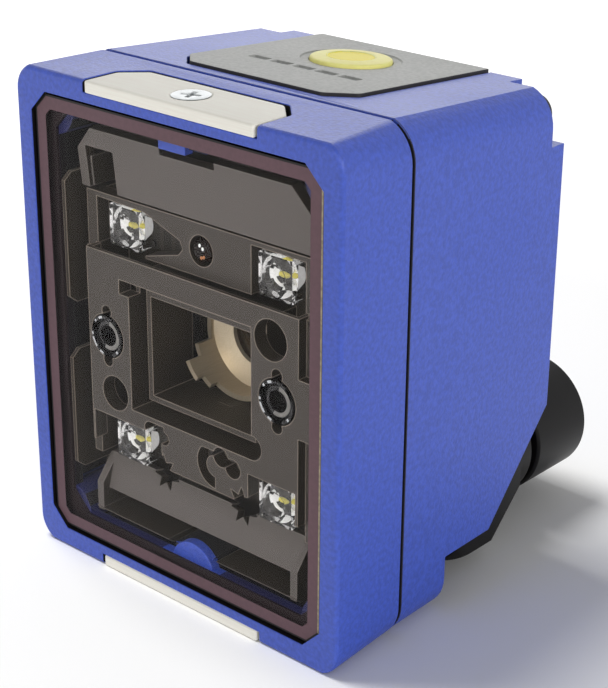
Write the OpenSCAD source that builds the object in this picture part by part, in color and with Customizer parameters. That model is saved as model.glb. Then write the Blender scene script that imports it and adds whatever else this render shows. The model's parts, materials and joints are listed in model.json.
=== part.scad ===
// Fixed barcode reader: a small camera reader in a two-part housing, with its light chassis behind
// a window, a push button on top and a connector block that turns on the sloping rear face.
// The front looks to -y, x runs right seen from the front and z up. Sizes along the depth count from the
// front face, and each piece is then moved so that the origin is the middle of the outline on the ground.

/* [Housing] */
// Width of the front bezel
body_w = 47.4; // [46:0.1:52]
// Height of the housing
body_h = 58.5; // [57:0.1:64]
// Depth of the front bezel, up to the middle of the seam
seam_y = 10.7; // [10.2:0.1:12]
// Depth of the housing, front face to back face
body_d = 38; // [37:0.1:42]
// Height of the four long corners at the seam, seen from the front
corner_r = 4.2; // [3.4:0.1:5]
// Width of the four long corners at the seam
corner_w = 2.9; // [2.4:0.1:3.4]
// Height of the long corners at the front face
front_corner_h = 2.9; // [2.4:0.1:3.4]
// Width of the long corners at the front face
front_corner_w = 2; // [1.6:0.1:2.4]
// Wall thickness of bezel and rear body
wall = 2.2; // [1.8:0.1:2.6]
// Width of the open seam between bezel and rear body
seam_gap = 0.5; // [0.3:0.05:0.8]
// How far the top drops from the seam to the back face
top_drop = 1.85; // [0.5:0.05:2.5]
// How much narrower the back is than the seam
side_draft = 1.2; // [0.2:0.1:2]
// Radius of the softened front edge
front_r = 0.45; // [0.3:0.05:0.8]

/* [Rear outline] */
// Depth of the foot, where the rear underside is cut away
foot_y = 18.9; // [18:0.1:20]
// Height of the cut above the foot
step_z = 6.95; // [6.5:0.05:8]
// Depth at which the sloping rear face starts
diag_y = 27.2; // [26.6:0.1:28]
// Height at which the sloping rear face ends on the back
diag_top_z = 19.05; // [18.4:0.05:19.8]
// Depth of the screw shoulders in the two top rear corners
shoulder_y = 35.6; // [34.8:0.1:36.2]
// Height of the ledge below those shoulders
ledge_z = 50.55; // [49.5:0.05:51]
// Width of the middle block between the shoulders
block_w = 34; // [32:0.5:35]

/* [Window] */
// Width of the bezel's frame beside the window
frame_side = 2.75; // [2.6:0.05:3.2]
// Width of the bezel's frame above and below the window
frame_end = 2.825; // [2.75:0.025:3.2]
// Thickness of the window
window_t = 1.6; // [1.2:0.1:2]
// How far the window lies behind the front face
window_y = 0.4; // [0.2:0.05:0.6]
// Corner cut of the window
window_cut = 2.4; // [1.6:0.1:3]
// Width of the sealing frame behind the window
seal_w = 1.6; // [1.2:0.1:1.8]
// Thickness of the sealing frame
seal_t = 0.5; // [0.3:0.1:0.7]

/* [Clips and screws] */
// Width of the clip plates at the top and bottom of the bezel
clip_w = 24.6; // [20:0.2:27]
// Depth of the clip plates
clip_d = 7.25; // [6.5:0.05:7.6]
// Thickness of the clip plates
clip_t = 1.4; // [1.2:0.1:1.6]
// Corner cut at the back of the clip plates
clip_cut = 2.6; // [1.5:0.1:3.2]
// Head diameter of the clip screws
clip_head_d = 4.3; // [3.6:0.1:4.6]
// Thread diameter of the clip screws
clip_screw_d = 2; // [1.6:0.1:2.2]
// Head diameter of the housing screws
screw_head_d = 4.15; // [3.6:0.05:4.4]
// Thread diameter of the housing screws
screw_d = 2.2; // [1.8:0.1:2.4]
// Distance of the housing screws from the side faces
screw_side = 3.8; // [3.5:0.1:4.1]
// Distance of the housing screws from the top and bottom faces
screw_edge = 4.3; // [4:0.1:4.6]

/* [Top panel] */
// Width of the top panel
panel_w = 24.8; // [22:0.2:27]
// Depth at which the top panel starts
panel_y = 12.9; // [12.4:0.1:14]
// How far the top panel stands proud
panel_proud = 0.35; // [0.2:0.05:0.5]
// Thickness of the top panel
panel_t = 1.3; // [1.2:0.05:1.5]
// Corner cut at the front of the top panel
panel_cut = 2.8; // [2:0.1:4.5]
// Diameter of the push button
button_d = 9.4; // [8:0.1:10]
// Depth of the push button's axis
button_y = 28.8; // [28:0.1:30.5]
// How far the push button stands above the panel
button_h = 0.4; // [0.35:0.05:0.6]
// Travel of the push button
button_travel = 0.3; // [0.25:0.05:0.35]
// Number of status light slots
light_n = 5; // [3:1:6]
// Pitch of the status light slots
light_pitch = 3.3; // [3:0.1:3.6]
// Depth of the row of status light slots
light_y = 20.9; // [20:0.1:22]

/* [Light chassis] */
// Depth of the chassis face behind the front face
face_y = 2.8; // [2.6:0.1:3]
// Thickness of the chassis face
face_t = 1.8; // [1.4:0.1:2]
// Half width of the chassis face
face_x = 16; // [15.6:0.1:16.2]
// Depth of the strip that holds the upper lamps
strip_y = 4.3; // [4.1:0.1:4.5]
// Depth of the front of the chassis base plate
base_y = 9.2; // [9:0.1:9.4]
// Width of the outer lens tunnel
tunnel_w = 18.6; // [17:0.2:19]
// Height of the outer lens tunnel
tunnel_h = 15.4; // [14.6:0.2:15.6]
// Step from the outer to the inner lens tunnel
tunnel_step = 1.7; // [1.2:0.1:2]
// Sideways place of the lamps
lamp_x = 11.3; // [10.8:0.1:11.6]
// Height of the upper lamps above the middle
lamp_up = 12; // [11.8:0.1:12.4]
// Depth of the lower lamps below the middle
lamp_down = 14.2; // [14:0.1:14.4]
// Side of the square lamp lenses
lamp_side = 4.7; // [4:0.1:5]
// Diameter of the two aimers
aimer_d = 4.9; // [4.4:0.1:5.1]
// Sideways place of the aimers
aimer_x = 13; // [12.8:0.1:13.1]
// Diameter of the lens barrel in its holder
barrel_d = 13; // [12.6:0.1:13.2]

/* [Connector block] */
// Half width of the connector block
turret_x = 20.5; // [20.2:0.1:21]
// Length of the connector block below the swivel axis
turret_l = 13; // [12.6:0.1:13.4]
// Length of the connector block above the swivel axis
turret_up = 6.4; // [6.2:0.1:6.8]
// Thickness of the connector block
turret_t = 5.9; // [5.4:0.1:6.4]
// Diameter of the hollow swivel spigot
spigot_d = 10; // [9:0.1:10.4]
// Sideways place of the two connectors
conn_x = 11.9; // [11.4:0.1:12.4]
// Height of the connector axes above the foot
conn_z = 10.05; // [9.8:0.05:10.4]
// Outer diameter of the connector shells
conn_d = 15; // [14.6:0.1:15.4]
// Depth at which the connector shells start
conn_y = 42.4; // [42.2:0.1:43]
// Length of the connector shells
conn_l = 10.4; // [9:0.1:12]
// Number of pins in the power connector
pin_n = 17; // [8:1:17]

/* [Mounting] */
// Sideways spacing of the mounting threads in the back face
mount_px = 26; // [22:0.5:28]
// Upright spacing of the mounting threads in the back face
mount_pz = 18; // [14:0.5:20]
// Core diameter of the mounting threads
mount_d = 3.3; // [3:0.1:3.6]
// Depth of the mounting threads
mount_depth = 5; // [4:0.5:5.5]

/* [Clearances] */
// Radial clearance of the push button in its guide
button_clear = 0.06; // [0.03:0.01:0.09]
// Radial clearance of the swivel spigot in the housing
swivel_clear = 0.05; // [0.03:0.01:0.09]
// Gap between the turning block and its seat
turret_gap = 0.3; // [0.25:0.05:0.4]
// Open gap around trim plates and the window
trim_gap = 0.35; // [0.25:0.05:0.45]
// Gap around pieces that drop into place
loose = 0.2; // [0.15:0.05:0.25]

/* [Hidden] */
$fn = 64;
eps = 0.01;
cut = 1;
clip_lip = 0.1;
plate_r = 0.9;
frame_y = (conn_y + conn_l - clip_lip) / 2;
cz = body_h / 2;
bezel_back = seam_y - seam_gap / 2;
rear_front = seam_y + seam_gap / 2;
rear_w = body_w - 0.2;
back_w = rear_w - side_draft;
back_h = body_h - top_drop;
top_slope = atan(top_drop / (body_d - seam_y));
window_w = body_w - 2 * frame_side;
window_h = body_h - 2 * frame_end;
screw_x = body_w / 2 - screw_side;
seal_y = window_y + window_t;
ledge_y = seal_y + seal_t;
ledge_t = 1.2;
boss_back = 0.6;
open_w = window_w - 2 * seal_w;
open_h = window_h - 2 * seal_w;
screw_col_r = screw_edge - corner_r * 0.3;
screw_top_z = body_h - screw_edge - 0.45;
screw_low_z = screw_edge;
screw_head_h = 1.6;
panel_l = (body_d - panel_y) / cos(top_slope);
panel_floor = panel_proud - panel_t;
button_r = button_d / 2;
button_flange_r = button_r + 0.55;
button_flange_t = 0.8;
lip_w = 1.9;
lip_h = 0.3;
dish_t = 0.1;
stem_l = 2.3;
stem_r = 1.5;
stem_z = panel_floor - stem_l;
board_top = stem_z - button_travel - 0.35 - 1.2;
hmi_t = 1;
hmi_w = 22;
hmi_front = 6;
hmi_back = 3.34;
hmi_post = 2;
hmi_y0 = top_at(light_y) - hmi_front;
hmi_y1 = top_at(body_d) - hmi_back;
post_l = -wall - board_top;
light_l = 2.6;
light_w = 1.2;
light_sink = 0.25;
base_t = rear_front - base_y;
base_w = body_w - 2 * wall - 2 * loose;
base_h = body_h - 2 * wall - 2 * loose;
tunnel_z = -1.2;
tunnel_wall = 0.7;
lens_z = tunnel_z + 0.6;
column_gap = 0.8;
tray_x = min(face_x, screw_x - screw_col_r - column_gap);
led_board_y = 7;
led_board_t = 0.8;
led_board_w = 2 * tray_x - 0.8;
led_post_r = 1;
led_board_h = lamp_side + 0.3;
led_side = 3;
led_t = 0.6;
strip_low = 9.2;
strip_top = 15.4;
face_low = -14.6;
slope_y = 5;
slope_z = -16.9;
pocket_z = -10.8;
shade_gap = 0.5;
shade_lead = 0.6;
shade_y = strip_y - shade_lead;
shade_t = 1.3;
shade_x = face_x + 1.2;
shade_l = open_h / 2 - 1.775 - strip_top - shade_gap;
shade_cut = 2.7;
tray_z = 0.525 - open_h / 2;
slope_l = slope_z - tray_z - 2.9;
star_r = 2.1;
tray_in = 3.8;
aimer_z = -0.9;
target_x = 0.7;
target_z = 12.3;
barrel_r = barrel_d / 2;
hood_r = barrel_r - 0.6;
hood_y = 8;
cell_y = 12.6;
lens_r = barrel_r - 3;
holder_y = rear_front;
holder_l = 6.5;
holder_w = 20;
holder_h = 17;
chip_side = 12;
chip_w = 8;
chip_h = 6.4;
chip_d = 0.9;
sensor_y = holder_y + holder_l;
barrel_back = sensor_y - 1.4;
main_back = 11.5;
main_y = body_d - main_back;
main_t = 1.6;
main_w = 36;
main_z0 = 26;
main_under = 9.5;
main_z1 = body_h - main_under;
pad_t = 1.5;
chip_t = 1.6;
seat_shift = 0.6;
seat_y = (diag_y + body_d) / 2 - seat_shift;
seat_z = (step_z + diag_top_z) / 2 - seat_shift;
seat_top = 0.6;
seat_r = 7.8;
seat_depth = 3.6;
turret_z0 = seat_top + turret_gap;
turret_z1 = turret_z0 + turret_t;
block_head_d = screw_d + 1;
block_screw_x = turret_x - 2.1;
block_screw_y = 5.4;
spigot_r = spigot_d / 2;
spigot_bore_r = spigot_r - 1.6;
clip_ring_t = 0.8;
clip_ring_z = -seat_depth - 0.25 - clip_ring_t;
neck_r = conn_d / 2 - 0.25;
neck_y = conn_y - 1.2;
conn_stem_r = conn_d / 2 - 1.3;
conn_stem_l = 4;
conn_bore_r = conn_d / 2 - 1.2;
conn_floor_y = conn_y + 1.6;
insert_l = 4.4;
insert_r = conn_bore_r - loose;
mount_z = cz + 4.5;

blue = [0.29, 0.37, 0.70];
champagne = [0.86, 0.83, 0.78];
taupe = [0.42, 0.40, 0.38];
dark = [0.08, 0.08, 0.09];
steel = [0.72, 0.73, 0.74];
board_green = [0.10, 0.30, 0.16];

// Moves a piece from front-face depths to the part's own frame
module framed() {
    translate([0, -frame_y, 0])
        children();
}

// Extrudes a front-view outline from depth y0 over the thickness t
module plate(y0, t) {
    translate([0, y0 + t, 0])
        rotate([90, 0, 0])
            linear_extrude(t)
                children();
}

// Extrudes a side-view outline (depth, height) over the width w, about the middle plane
module side_prism(w) {
    rotate([90, 0, 90])
        linear_extrude(w, center = true)
            children();
}

// Round bar along y from depth y0 over the length l
module y_bar(x, z, y0, l, r) {
    translate([x, y0, z])
        rotate([-90, 0, 0])
            cylinder(r = r, h = l);
}

// Rectangle with round corners, centred
module round_rect(w, h, r) {
    square([w - 2 * r, h], center = true);
    square([w, h - 2 * r], center = true);
    for (sx = [-1, 1], sz = [-1, 1])
        translate([sx * (w / 2 - r), sz * (h / 2 - r)])
            circle(r);
}

// Centred rectangle whose corner arcs leave the sides smoothly and meet top and bottom in a crease
module crease_rect(w, h, cw, ch) {
    a = 2 * atan(cw / ch);
    r = ch / sin(a);
    q = [for (k = [0:8]) [w / 2 - r * (1 - cos(a * k / 8)), h / 2 - ch + r * sin(a * k / 8)]];
    polygon(concat(
        q, [for (k = [8:-1:0]) [-q[k][0], q[k][1]]],
        [for (p = q) -p], [for (k = [8:-1:0]) [q[k][0], -q[k][1]]]
    ));
}

// Rectangle with 45 degree corner cuts, centred
module cut_rect(w, h, c) {
    polygon([
        [-w / 2 + c, -h / 2], [w / 2 - c, -h / 2], [w / 2, -h / 2 + c], [w / 2, h / 2 - c],
        [w / 2 - c, h / 2], [-w / 2 + c, h / 2], [-w / 2, h / 2 - c], [-w / 2, -h / 2 + c]
    ]);
}

// Children in the frame of the top face: y back along the face, z square to it
module on_top() {
    translate([0, seam_y, body_h])
        rotate([-top_slope, 0, 0])
            children();
}

// Distance along the top face of a point at depth y
function top_at(y) = (y - seam_y) / cos(top_slope);

// Children in the frame of the swivel: z out along the swivel axis, y down the sloping face
module on_seat() {
    translate([0, seat_y, seat_z])
        rotate([-135, 0, 0])
            children();
}

// Outline of the bezel near its front face, drawn in by the given amount
module bezel_slice(y, inset) {
    plate(y, eps)
        translate([0, cz])
            crease_rect(
                body_w - 2 * inset, body_h - 2 * inset, front_corner_w - inset, front_corner_h - inset
            );
}

module bezel_outer() {
    hull() {
        bezel_slice(0, front_r);
        bezel_slice(front_r * 0.29, front_r * 0.29);
        bezel_slice(front_r, 0);
        plate(bezel_back - eps, eps)
            translate([0, cz])
                crease_rect(body_w, body_h, corner_w, corner_r);
    }
}

// Flat clip plate outline in plan, back corners cut
module clip_outline(gap) {
    w = clip_w / 2 + gap;
    d = clip_d + gap;
    round_ends()
        polygon([
            [-w, -2 * cut], [w, -2 * cut], [w, d - clip_cut], [w - clip_cut, d],
            [-w + clip_cut, d], [-w, d - clip_cut]
        ]);
}

// Rounds the corners of a flat outline
module round_ends() {
    offset(r = plate_r)
        offset(delta = -plate_r)
            children();
}

module clip_pocket(z0, h) {
    translate([0, 0, z0])
        linear_extrude(h)
            clip_outline(trim_gap);
}

// Four housing screw places: x, z and depth of the screw seat
SCREWS = [
    [-screw_x, screw_top_z, shoulder_y], [screw_x, screw_top_z, shoulder_y],
    [-screw_x, screw_low_z, foot_y], [screw_x, screw_low_z, foot_y]
];

module front_bezel() {
    color(blue)
        difference() {
            union() {
                difference() {
                    bezel_outer();
                    plate(-cut, ledge_y + cut)
                        translate([0, cz])
                            cut_rect(window_w + 2 * trim_gap, window_h + 2 * trim_gap, window_cut);
                    plate(0, ledge_y + ledge_t + cut)
                        translate([0, cz])
                            cut_rect(open_w, open_h, window_cut);
                    plate(ledge_y + ledge_t, bezel_back)
                        translate([0, cz])
                            round_rect(body_w - 2 * wall, body_h - 2 * wall, corner_r - wall);
                }
                for (s = SCREWS)
                    y_bar(s[0], s[1], ledge_y, bezel_back - ledge_y, screw_col_r);
                for (s = [-1, 1])
                    translate([-3, ledge_y + boss_back, cz + s * (cz - wall - 1.7) - 1.7])
                        cube([6, clip_d - ledge_y - boss_back, 3.4]);
                window_tabs();
            }
            clip_pocket(body_h - clip_t, clip_t + cut);
            clip_pocket(-cut, clip_t + cut);
            for (s = SCREWS)
                y_bar(s[0], s[1], bezel_back - 6, 6 + cut, screw_d / 2);
            translate([0, clip_d / 2, -cut])
                cylinder(d = clip_screw_d, h = 4 + cut);
            translate([0, clip_d / 2, body_h - 4])
                cylinder(d = clip_screw_d, h = 4 + cut);
        }
}

// Two tongues of the bezel that keep the window from being pushed in
module window_tabs() {
    intersection() {
        plate(ledge_y, ledge_t)
            translate([0, cz])
                cut_rect(window_w, window_h, window_cut);
        union() {
            plate(ledge_y, ledge_t)
                translate([0.3, cz - open_h / 2 - 0.9])
                    circle(3.3);
            plate(ledge_y, ledge_t)
                translate([-3.6, cz + open_h / 2 - 1.7])
                    square([4, 3]);
        }
    }
}

// Outside of the rear body before its cut-outs
module rear_outer() {
    hull() {
        plate(rear_front, eps)
            translate([0, cz])
                crease_rect(rear_w, body_h, corner_w, corner_r);
        plate(body_d - eps, eps)
            translate([0, back_h / 2])
                crease_rect(back_w, back_h, corner_w, corner_r);
    }
}

// Inside of the rear body, drawn in by the given wall
module rear_taper(inset) {
    hull() {
        plate(rear_front, eps)
            translate([0, cz])
                round_rect(rear_w - 2 * inset, body_h - 2 * inset, corner_r - inset * 0.8, $fn = 32);
        plate(body_d - inset - eps, eps)
            translate([0, back_h / 2])
                round_rect(back_w - 2 * inset, back_h - 2 * inset, corner_r - inset * 0.8, $fn = 32);
    }
}

// Side outline of the rear body, drawn in by the given wall
module rear_side(inset) {
    bend = inset * tan(22.5);
    polygon([
        [0, inset], [foot_y - inset, inset], [foot_y - inset, step_z + inset],
        [diag_y - bend, step_z + inset], [body_d - inset, diag_top_z + bend],
        [body_d - inset, body_h + cut], [0, body_h + cut]
    ]);
}

module rear_shell() {
    difference() {
        intersection() {
            rear_outer();
            side_prism(body_w)
                rear_side(0);
        }
        intersection() {
            translate([0, -eps, 0])
                rear_taper(wall);
            side_prism(body_w)
                rear_side(wall);
        }
    }
}

// Columns, posts and pads inside the rear body
module rear_inside() {
    for (s = SCREWS)
        y_bar(s[0], s[1], rear_front, s[2] - rear_front, screw_col_r);
    for (sx = [-1, 1], sz = [-1, 1])
        mount_bar(sx, sz, body_d - mount_depth - 2, mount_depth + 1, 3.4);
    on_seat()
        translate([0, 0, -seat_depth])
            cylinder(r = seat_r, h = seat_depth);
    on_top()
        for (sx = [-1, 1], y = [hmi_y0 + hmi_post, hmi_y1 - 1.4])
            translate([sx * (hmi_w / 2 - 1.6), y, -wall - post_l])
                cylinder(r = 1.4, h = post_l + wall / 2);
    for (sx = [-1, 1])
        y_bar(sx * (main_w / 2 - 2.4), main_z0 + 2.4, main_y + main_t, body_d - main_y - main_t - 1, 1.8);
    for (sx = [-1, 1])
        translate([sx * (rear_w / 2 - wall - 1.2) - 1.4, main_y + main_t, main_z1 - 4])
            cube([2.8, body_d - main_y - main_t - 1, 3]);
    plate(main_y + main_t + chip_t + pad_t, body_d - main_y - main_t - chip_t - pad_t - 1)
        translate([0, (main_z0 + main_z1) / 2])
            square(chip_side + 1, center = true);
}

// Round bar on one of the four mounting places in the back face
module mount_bar(sx, sz, y0, l, r) {
    y_bar(sx * mount_px / 2, mount_z + sz * mount_pz / 2, y0, l, r);
}

module rear_body() {
    color(blue)
        difference() {
            union() {
                difference() {
                    union() {
                        rear_shell();
                        intersection() {
                            rear_inside();
                            rear_outer();
                            side_prism(body_w)
                                rear_side(0);
                        }
                    }
                    for (s = [-1, 1])
                        translate([s > 0 ? block_w / 2 : -body_w, shoulder_y, ledge_z])
                            cube([body_w - block_w / 2, body_d, body_h]);
                }
                shoulder_backs();
                on_seat()
                    translate([0, 0, -seat_depth])
                        cylinder(r = seat_r, h = seat_depth + seat_top);
            }
            for (s = SCREWS)
                y_bar(s[0], s[1], rear_front - cut, body_d, screw_d / 2 + loose / 2);
            for (s = SCREWS)
                y_bar(s[0], s[1], s[2], body_d, screw_head_d / 2 + loose);
            for (sx = [-1, 1], sz = [-1, 1])
                mount_bar(sx, sz, body_d - mount_depth, mount_depth + cut, mount_d / 2);
            on_seat() {
                translate([0, 0, -seat_depth - 4])
                    cylinder(r = spigot_r + swivel_clear, h = seat_depth + 8);
                translate([0, 0, seat_top - 1.2])
                    cylinder(r = spigot_r + 1.6, h = 2);
            }
            on_top() {
                translate([0, 0, panel_floor])
                    linear_extrude(4)
                        panel_outline(loose);
                translate([0, top_at(button_y), -4])
                    cylinder(r = button_flange_r + loose, h = 6);
                light_slots(light_l + 2 * loose, light_w + 2 * loose, -4, 6);
            }
        }
}

// Back walls of the two screw shoulders, which close the cut corners
module shoulder_backs() {
    intersection() {
        rear_outer();
        for (s = [-1, 1])
            translate([s * (block_w / 2 + rear_w / 4) - rear_w / 4, shoulder_y - wall, ledge_z - wall])
                cube([rear_w / 2, wall, body_h]);
    }
}

module seam_gasket() {
    color(dark)
        difference() {
            plate(bezel_back, seam_gap)
                translate([0, cz])
                    round_rect(rear_w - 1.4, body_h - 1.4, corner_r - 0.7);
            plate(bezel_back - cut, seam_gap + 2 * cut)
                translate([0, cz])
                    round_rect(body_w - 2 * wall + eps, body_h - 2 * wall + eps, corner_r - wall);
            for (s = SCREWS)
                y_bar(s[0], s[1], bezel_back - cut, seam_gap + 2 * cut, screw_d / 2 + loose);
        }
}

module window() {
    color([0.35, 0.28, 0.30], 0.4)
        plate(window_y, window_t)
            translate([0, cz])
                cut_rect(window_w, window_h, window_cut);
}

module window_seal() {
    color([0.16, 0.11, 0.12])
        difference() {
            plate(seal_y, seal_t)
                translate([0, cz])
                    cut_rect(window_w, window_h, window_cut);
            plate(seal_y - cut, seal_t + 2 * cut)
                translate([0, cz])
                    cut_rect(open_w, open_h, window_cut);
        }
}

// Clip plate with its countersunk hole, lying in z from 0 to the clip thickness
module clip_plate() {
    color(champagne)
        difference() {
            intersection() {
                linear_extrude(clip_t)
                    clip_outline(0);
                translate([-clip_w, -clip_lip, 0])
                    cube([2 * clip_w, clip_d + cut, clip_t]);
            }
            translate([0, clip_d / 2, clip_t - clip_sink_h()])
                cylinder(d1 = clip_screw_d + loose, d2 = clip_head_d + loose, h = clip_sink_h() + eps);
            translate([0, clip_d / 2, -cut])
                cylinder(d = clip_screw_d + loose, h = clip_t + cut);
        }
}

// Height of the clip screw's conical head
function clip_sink_h() = 0.9;

module top_clip() {
    translate([0, 0, body_h - clip_t])
        clip_plate();
}

module bottom_clip() {
    translate([0, 0, clip_t])
        mirror([0, 0, 1])
            clip_plate();
}

// Countersunk clip screw whose head is flush with z = 0 and points up
module clip_screw() {
    color(steel)
        difference() {
            union() {
                translate([0, 0, -clip_sink_h()])
                    cylinder(d1 = clip_screw_d, d2 = clip_head_d, h = clip_sink_h());
                translate([0, 0, -3.8])
                    cylinder(d = clip_screw_d, h = 3.4);
            }
            for (a = [0, 90])
                rotate([0, 0, a + 20])
                    translate([0, 0, -0.25])
                        cube([2.2, 0.5, 0.6], center = true);
        }
}

module top_clip_screw() {
    translate([0, clip_d / 2, body_h])
        clip_screw();
}

module bottom_clip_screw() {
    translate([0, clip_d / 2, 0])
        rotate([180, 0, 0])
            clip_screw();
}

// Round-headed housing screw with a six-sided socket
module housing_screw(k) {
    s = SCREWS[k];
    color(dark)
        difference() {
            union() {
                y_bar(s[0], s[1], bezel_back - 5, s[2] - bezel_back + 5.2, screw_d / 2);
                y_bar(s[0], s[1], s[2], screw_head_h - 0.4, screw_head_d / 2);
                translate([s[0], s[2] + screw_head_h - 0.4 - eps, s[1]])
                    rotate([-90, 0, 0])
                        cylinder(d1 = screw_head_d, d2 = screw_head_d - 0.9, h = 0.4);
            }
            translate([s[0], s[2] + screw_head_h - 0.9, s[1]])
                rotate([-90, 0, 0])
                    cylinder(d = 2, h = 2, $fn = 6);
        }
}

module housing_screw_1() { housing_screw(0); }
module housing_screw_2() { housing_screw(1); }
module housing_screw_3() { housing_screw(2); }
module housing_screw_4() { housing_screw(3); }

// Plan of the top panel in the frame of the top face
module panel_outline(gap) {
    w = panel_w / 2 + gap;
    y0 = top_at(panel_y) - gap;
    y1 = top_at(panel_y) + panel_l + 2;
    round_ends()
        polygon([
            [-w + panel_cut, y0], [w - panel_cut, y0], [w, y0 + panel_cut],
            [w, y1], [-w, y1], [-w, y0 + panel_cut]
        ]);
}

// Row of light slots through the top panel
module light_slots(l, w, z0, h) {
    for (k = [0:light_n - 1])
        translate([(k - (light_n - 1) / 2) * light_pitch - l / 2, top_at(light_y) - w / 2, z0])
            cube([l, w, h]);
}

module top_panel() {
    color([0.68, 0.68, 0.66])
        intersection() {
            on_top()
                difference() {
                    translate([0, 0, panel_floor])
                        linear_extrude(panel_t)
                            panel_outline(0);
                    translate([0, top_at(button_y), panel_floor - cut])
                        cylinder(r = button_r + button_clear, h = panel_t + 2 * cut);
                    translate([0, top_at(button_y), panel_proud - 0.15])
                        cylinder(r = button_r + 1.05, h = cut);
                    light_slots(light_l, light_w, panel_floor - cut, panel_t + 2 * cut);
                }
            translate([-body_w, 0, 0])
                cube([2 * body_w, body_d, 2 * body_h]);
        }
}

// Clear light guide: one bar under the panel board side with a prong in each slot
module light_guide() {
    color([0.55, 0.57, 0.58])
        on_top() {
            light_slots(light_l, light_w, board_top, panel_proud - board_top - light_sink);
            translate([-light_n * light_pitch / 2, top_at(light_y) - 0.9, board_top])
                cube([light_n * light_pitch, 1.8, 0.9]);
        }
}

module push_button() {
    flange_top = panel_floor - 0.05;
    flange_low = flange_top - button_flange_t;
    top = panel_proud + button_h;
    color([0.96, 0.86, 0.25])
        on_top()
            translate([0, top_at(button_y), 0])
                rotate_extrude()
                    polygon([
                        [0, stem_z], [stem_r, stem_z], [stem_r, flange_low], [button_flange_r, flange_low],
                        [button_flange_r, flange_top], [button_r, flange_top], [button_r, top - lip_h],
                        [button_r - lip_h / 2, top - lip_h / 2], [button_r - lip_w, top],
                        [button_r - lip_w - dish_t, top - dish_t], [0, top - dish_t]
                    ]);
}

module panel_board() {
    color(board_green)
        on_top()
            translate([-hmi_w / 2, hmi_y0, board_top - hmi_t])
                cube([hmi_w, hmi_y1 - hmi_y0, hmi_t]);
}

module button_switch() {
    color([0.2, 0.2, 0.21])
        on_top()
            translate([0, top_at(button_y), board_top]) {
                translate([-2.6, -2.6, 0])
                    cube([5.2, 5.2, 0.8]);
                cylinder(r = 1.4, h = 1.2);
            }
}

// Holes and slots of the chassis face, as an outline about the middle of the housing
module face_holes() {
    translate([0, tunnel_z])
        square([tunnel_w, tunnel_h], center = true);
    translate([-tunnel_w / 2 - 1.5, tunnel_z + tunnel_h / 2 - 1.7])
        square([2, 1.7]);
    translate([tunnel_w / 2, tunnel_z - tunnel_h / 2 + 1.45])
        circle(1.45);
    translate([-12, -7.7])
        circle(2.1);
    translate([12.1, 5.8])
        circle(2.3);
    for (s = [-1, 1]) {
        translate([s * aimer_x, aimer_z])
            circle(d = aimer_d + 2 * loose);
        for (k = [-1, 1])
            translate([s * aimer_x, aimer_z + k * (aimer_d / 2 + 0.5)])
                circle(0.75);
        star_slot(s * 6.1 + 1.7, face_low - 0.2, star_r);
    }
    translate([0.3 - face_x, face_low - cut])
        square([face_x - 4.9, pocket_z - face_low + cut]);
    translate([lamp_x - lamp_side / 2 - loose, face_low - cut])
        square([face_x - lamp_x + lamp_side / 2 + loose - 0.4, pocket_z - face_low + cut]);
    kidney_slots();
}

// Splayed star cut at the lower edge of the chassis face
module star_slot(x, z, r) {
    translate([x, z])
        polygon([for (k = [0:13]) (k % 2 == 0 ? r : r * 11 / 21) * [sin(k * 180 / 7), cos(k * 180 / 7)]]);
}

module kidney_slots() {
    translate([-6.4, -10.4])
        circle(0.9);
    translate([-6.4, -11.3])
        square([2.2, 1.8]);
    translate([-4.2, -10.9])
        circle(0.8);
    for (p = [[4.7, -10.2], [6.5, -11]])
        translate(p)
            circle(1.15);
    intersection() {
        translate([3.8, -11.6])
            difference() {
                circle(2.7);
                circle(1.3);
            }
        translate([0, -16])
            square([3.8, 6.2]);
    }
}

// Pockets of the upper lamp strip: a square one at the right, one with a tapered end at the left
module strip_pockets() {
    translate([8, strip_low - cut])
        square([face_x - 8.4, strip_top - strip_low - 0.6 + cut]);
    translate([0.4 - face_x, strip_low - cut])
        square([face_x - 8.3, 2 * cut]);
    polygon([
        [0.4 - face_x, strip_low], [-8, strip_low + 0.4], [-2.8, 11], [-2.1, 11.8], [-2.5, 12.7],
        [-8, strip_top - 0.8], [0.4 - face_x, strip_top - 0.6]
    ]);
    translate([target_x, target_z])
        circle(1.75);
}

module light_chassis() {
    color(taupe)
        translate([0, 0, cz])
            difference() {
                union() {
                    chassis_base();
                    chassis_face();
                    lens_tunnel();
                    chassis_rails();
                }
                plate(base_y - cut, base_t + 2 * cut)
                    translate([0, tunnel_z])
                        square([tunnel_w - 2 * tunnel_step, tunnel_h - 2 * tunnel_step], center = true);
                y_bar(0, lens_z, base_y - 0.8, base_t + 0.8 + cut, barrel_r + loose);
            }
}

// Base plate that is clamped on the rear body's rim, with posts for the lamp boards
module chassis_base() {
    difference() {
        plate(base_y, base_t)
            round_rect(base_w, base_h, corner_r - wall);
        for (s = SCREWS)
            y_bar(s[0], s[1] - cz, base_y - cut, base_t + 2 * cut, screw_col_r + loose);
        plate(base_y - cut, base_t + 2 * cut)
            for (s = [-1, 1])
                translate([0, s * (base_h / 2)])
                    square([7, 3.4], center = true);
    }
    for (s = [-1, 1], z = [lamp_up, -lamp_down])
        for (x = [lamp_x / 2, led_board_w / 2 - led_post_r])
            y_bar(s * x, z, led_board_y + led_board_t, base_y - led_board_y - led_board_t + eps, led_post_r);
}

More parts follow.
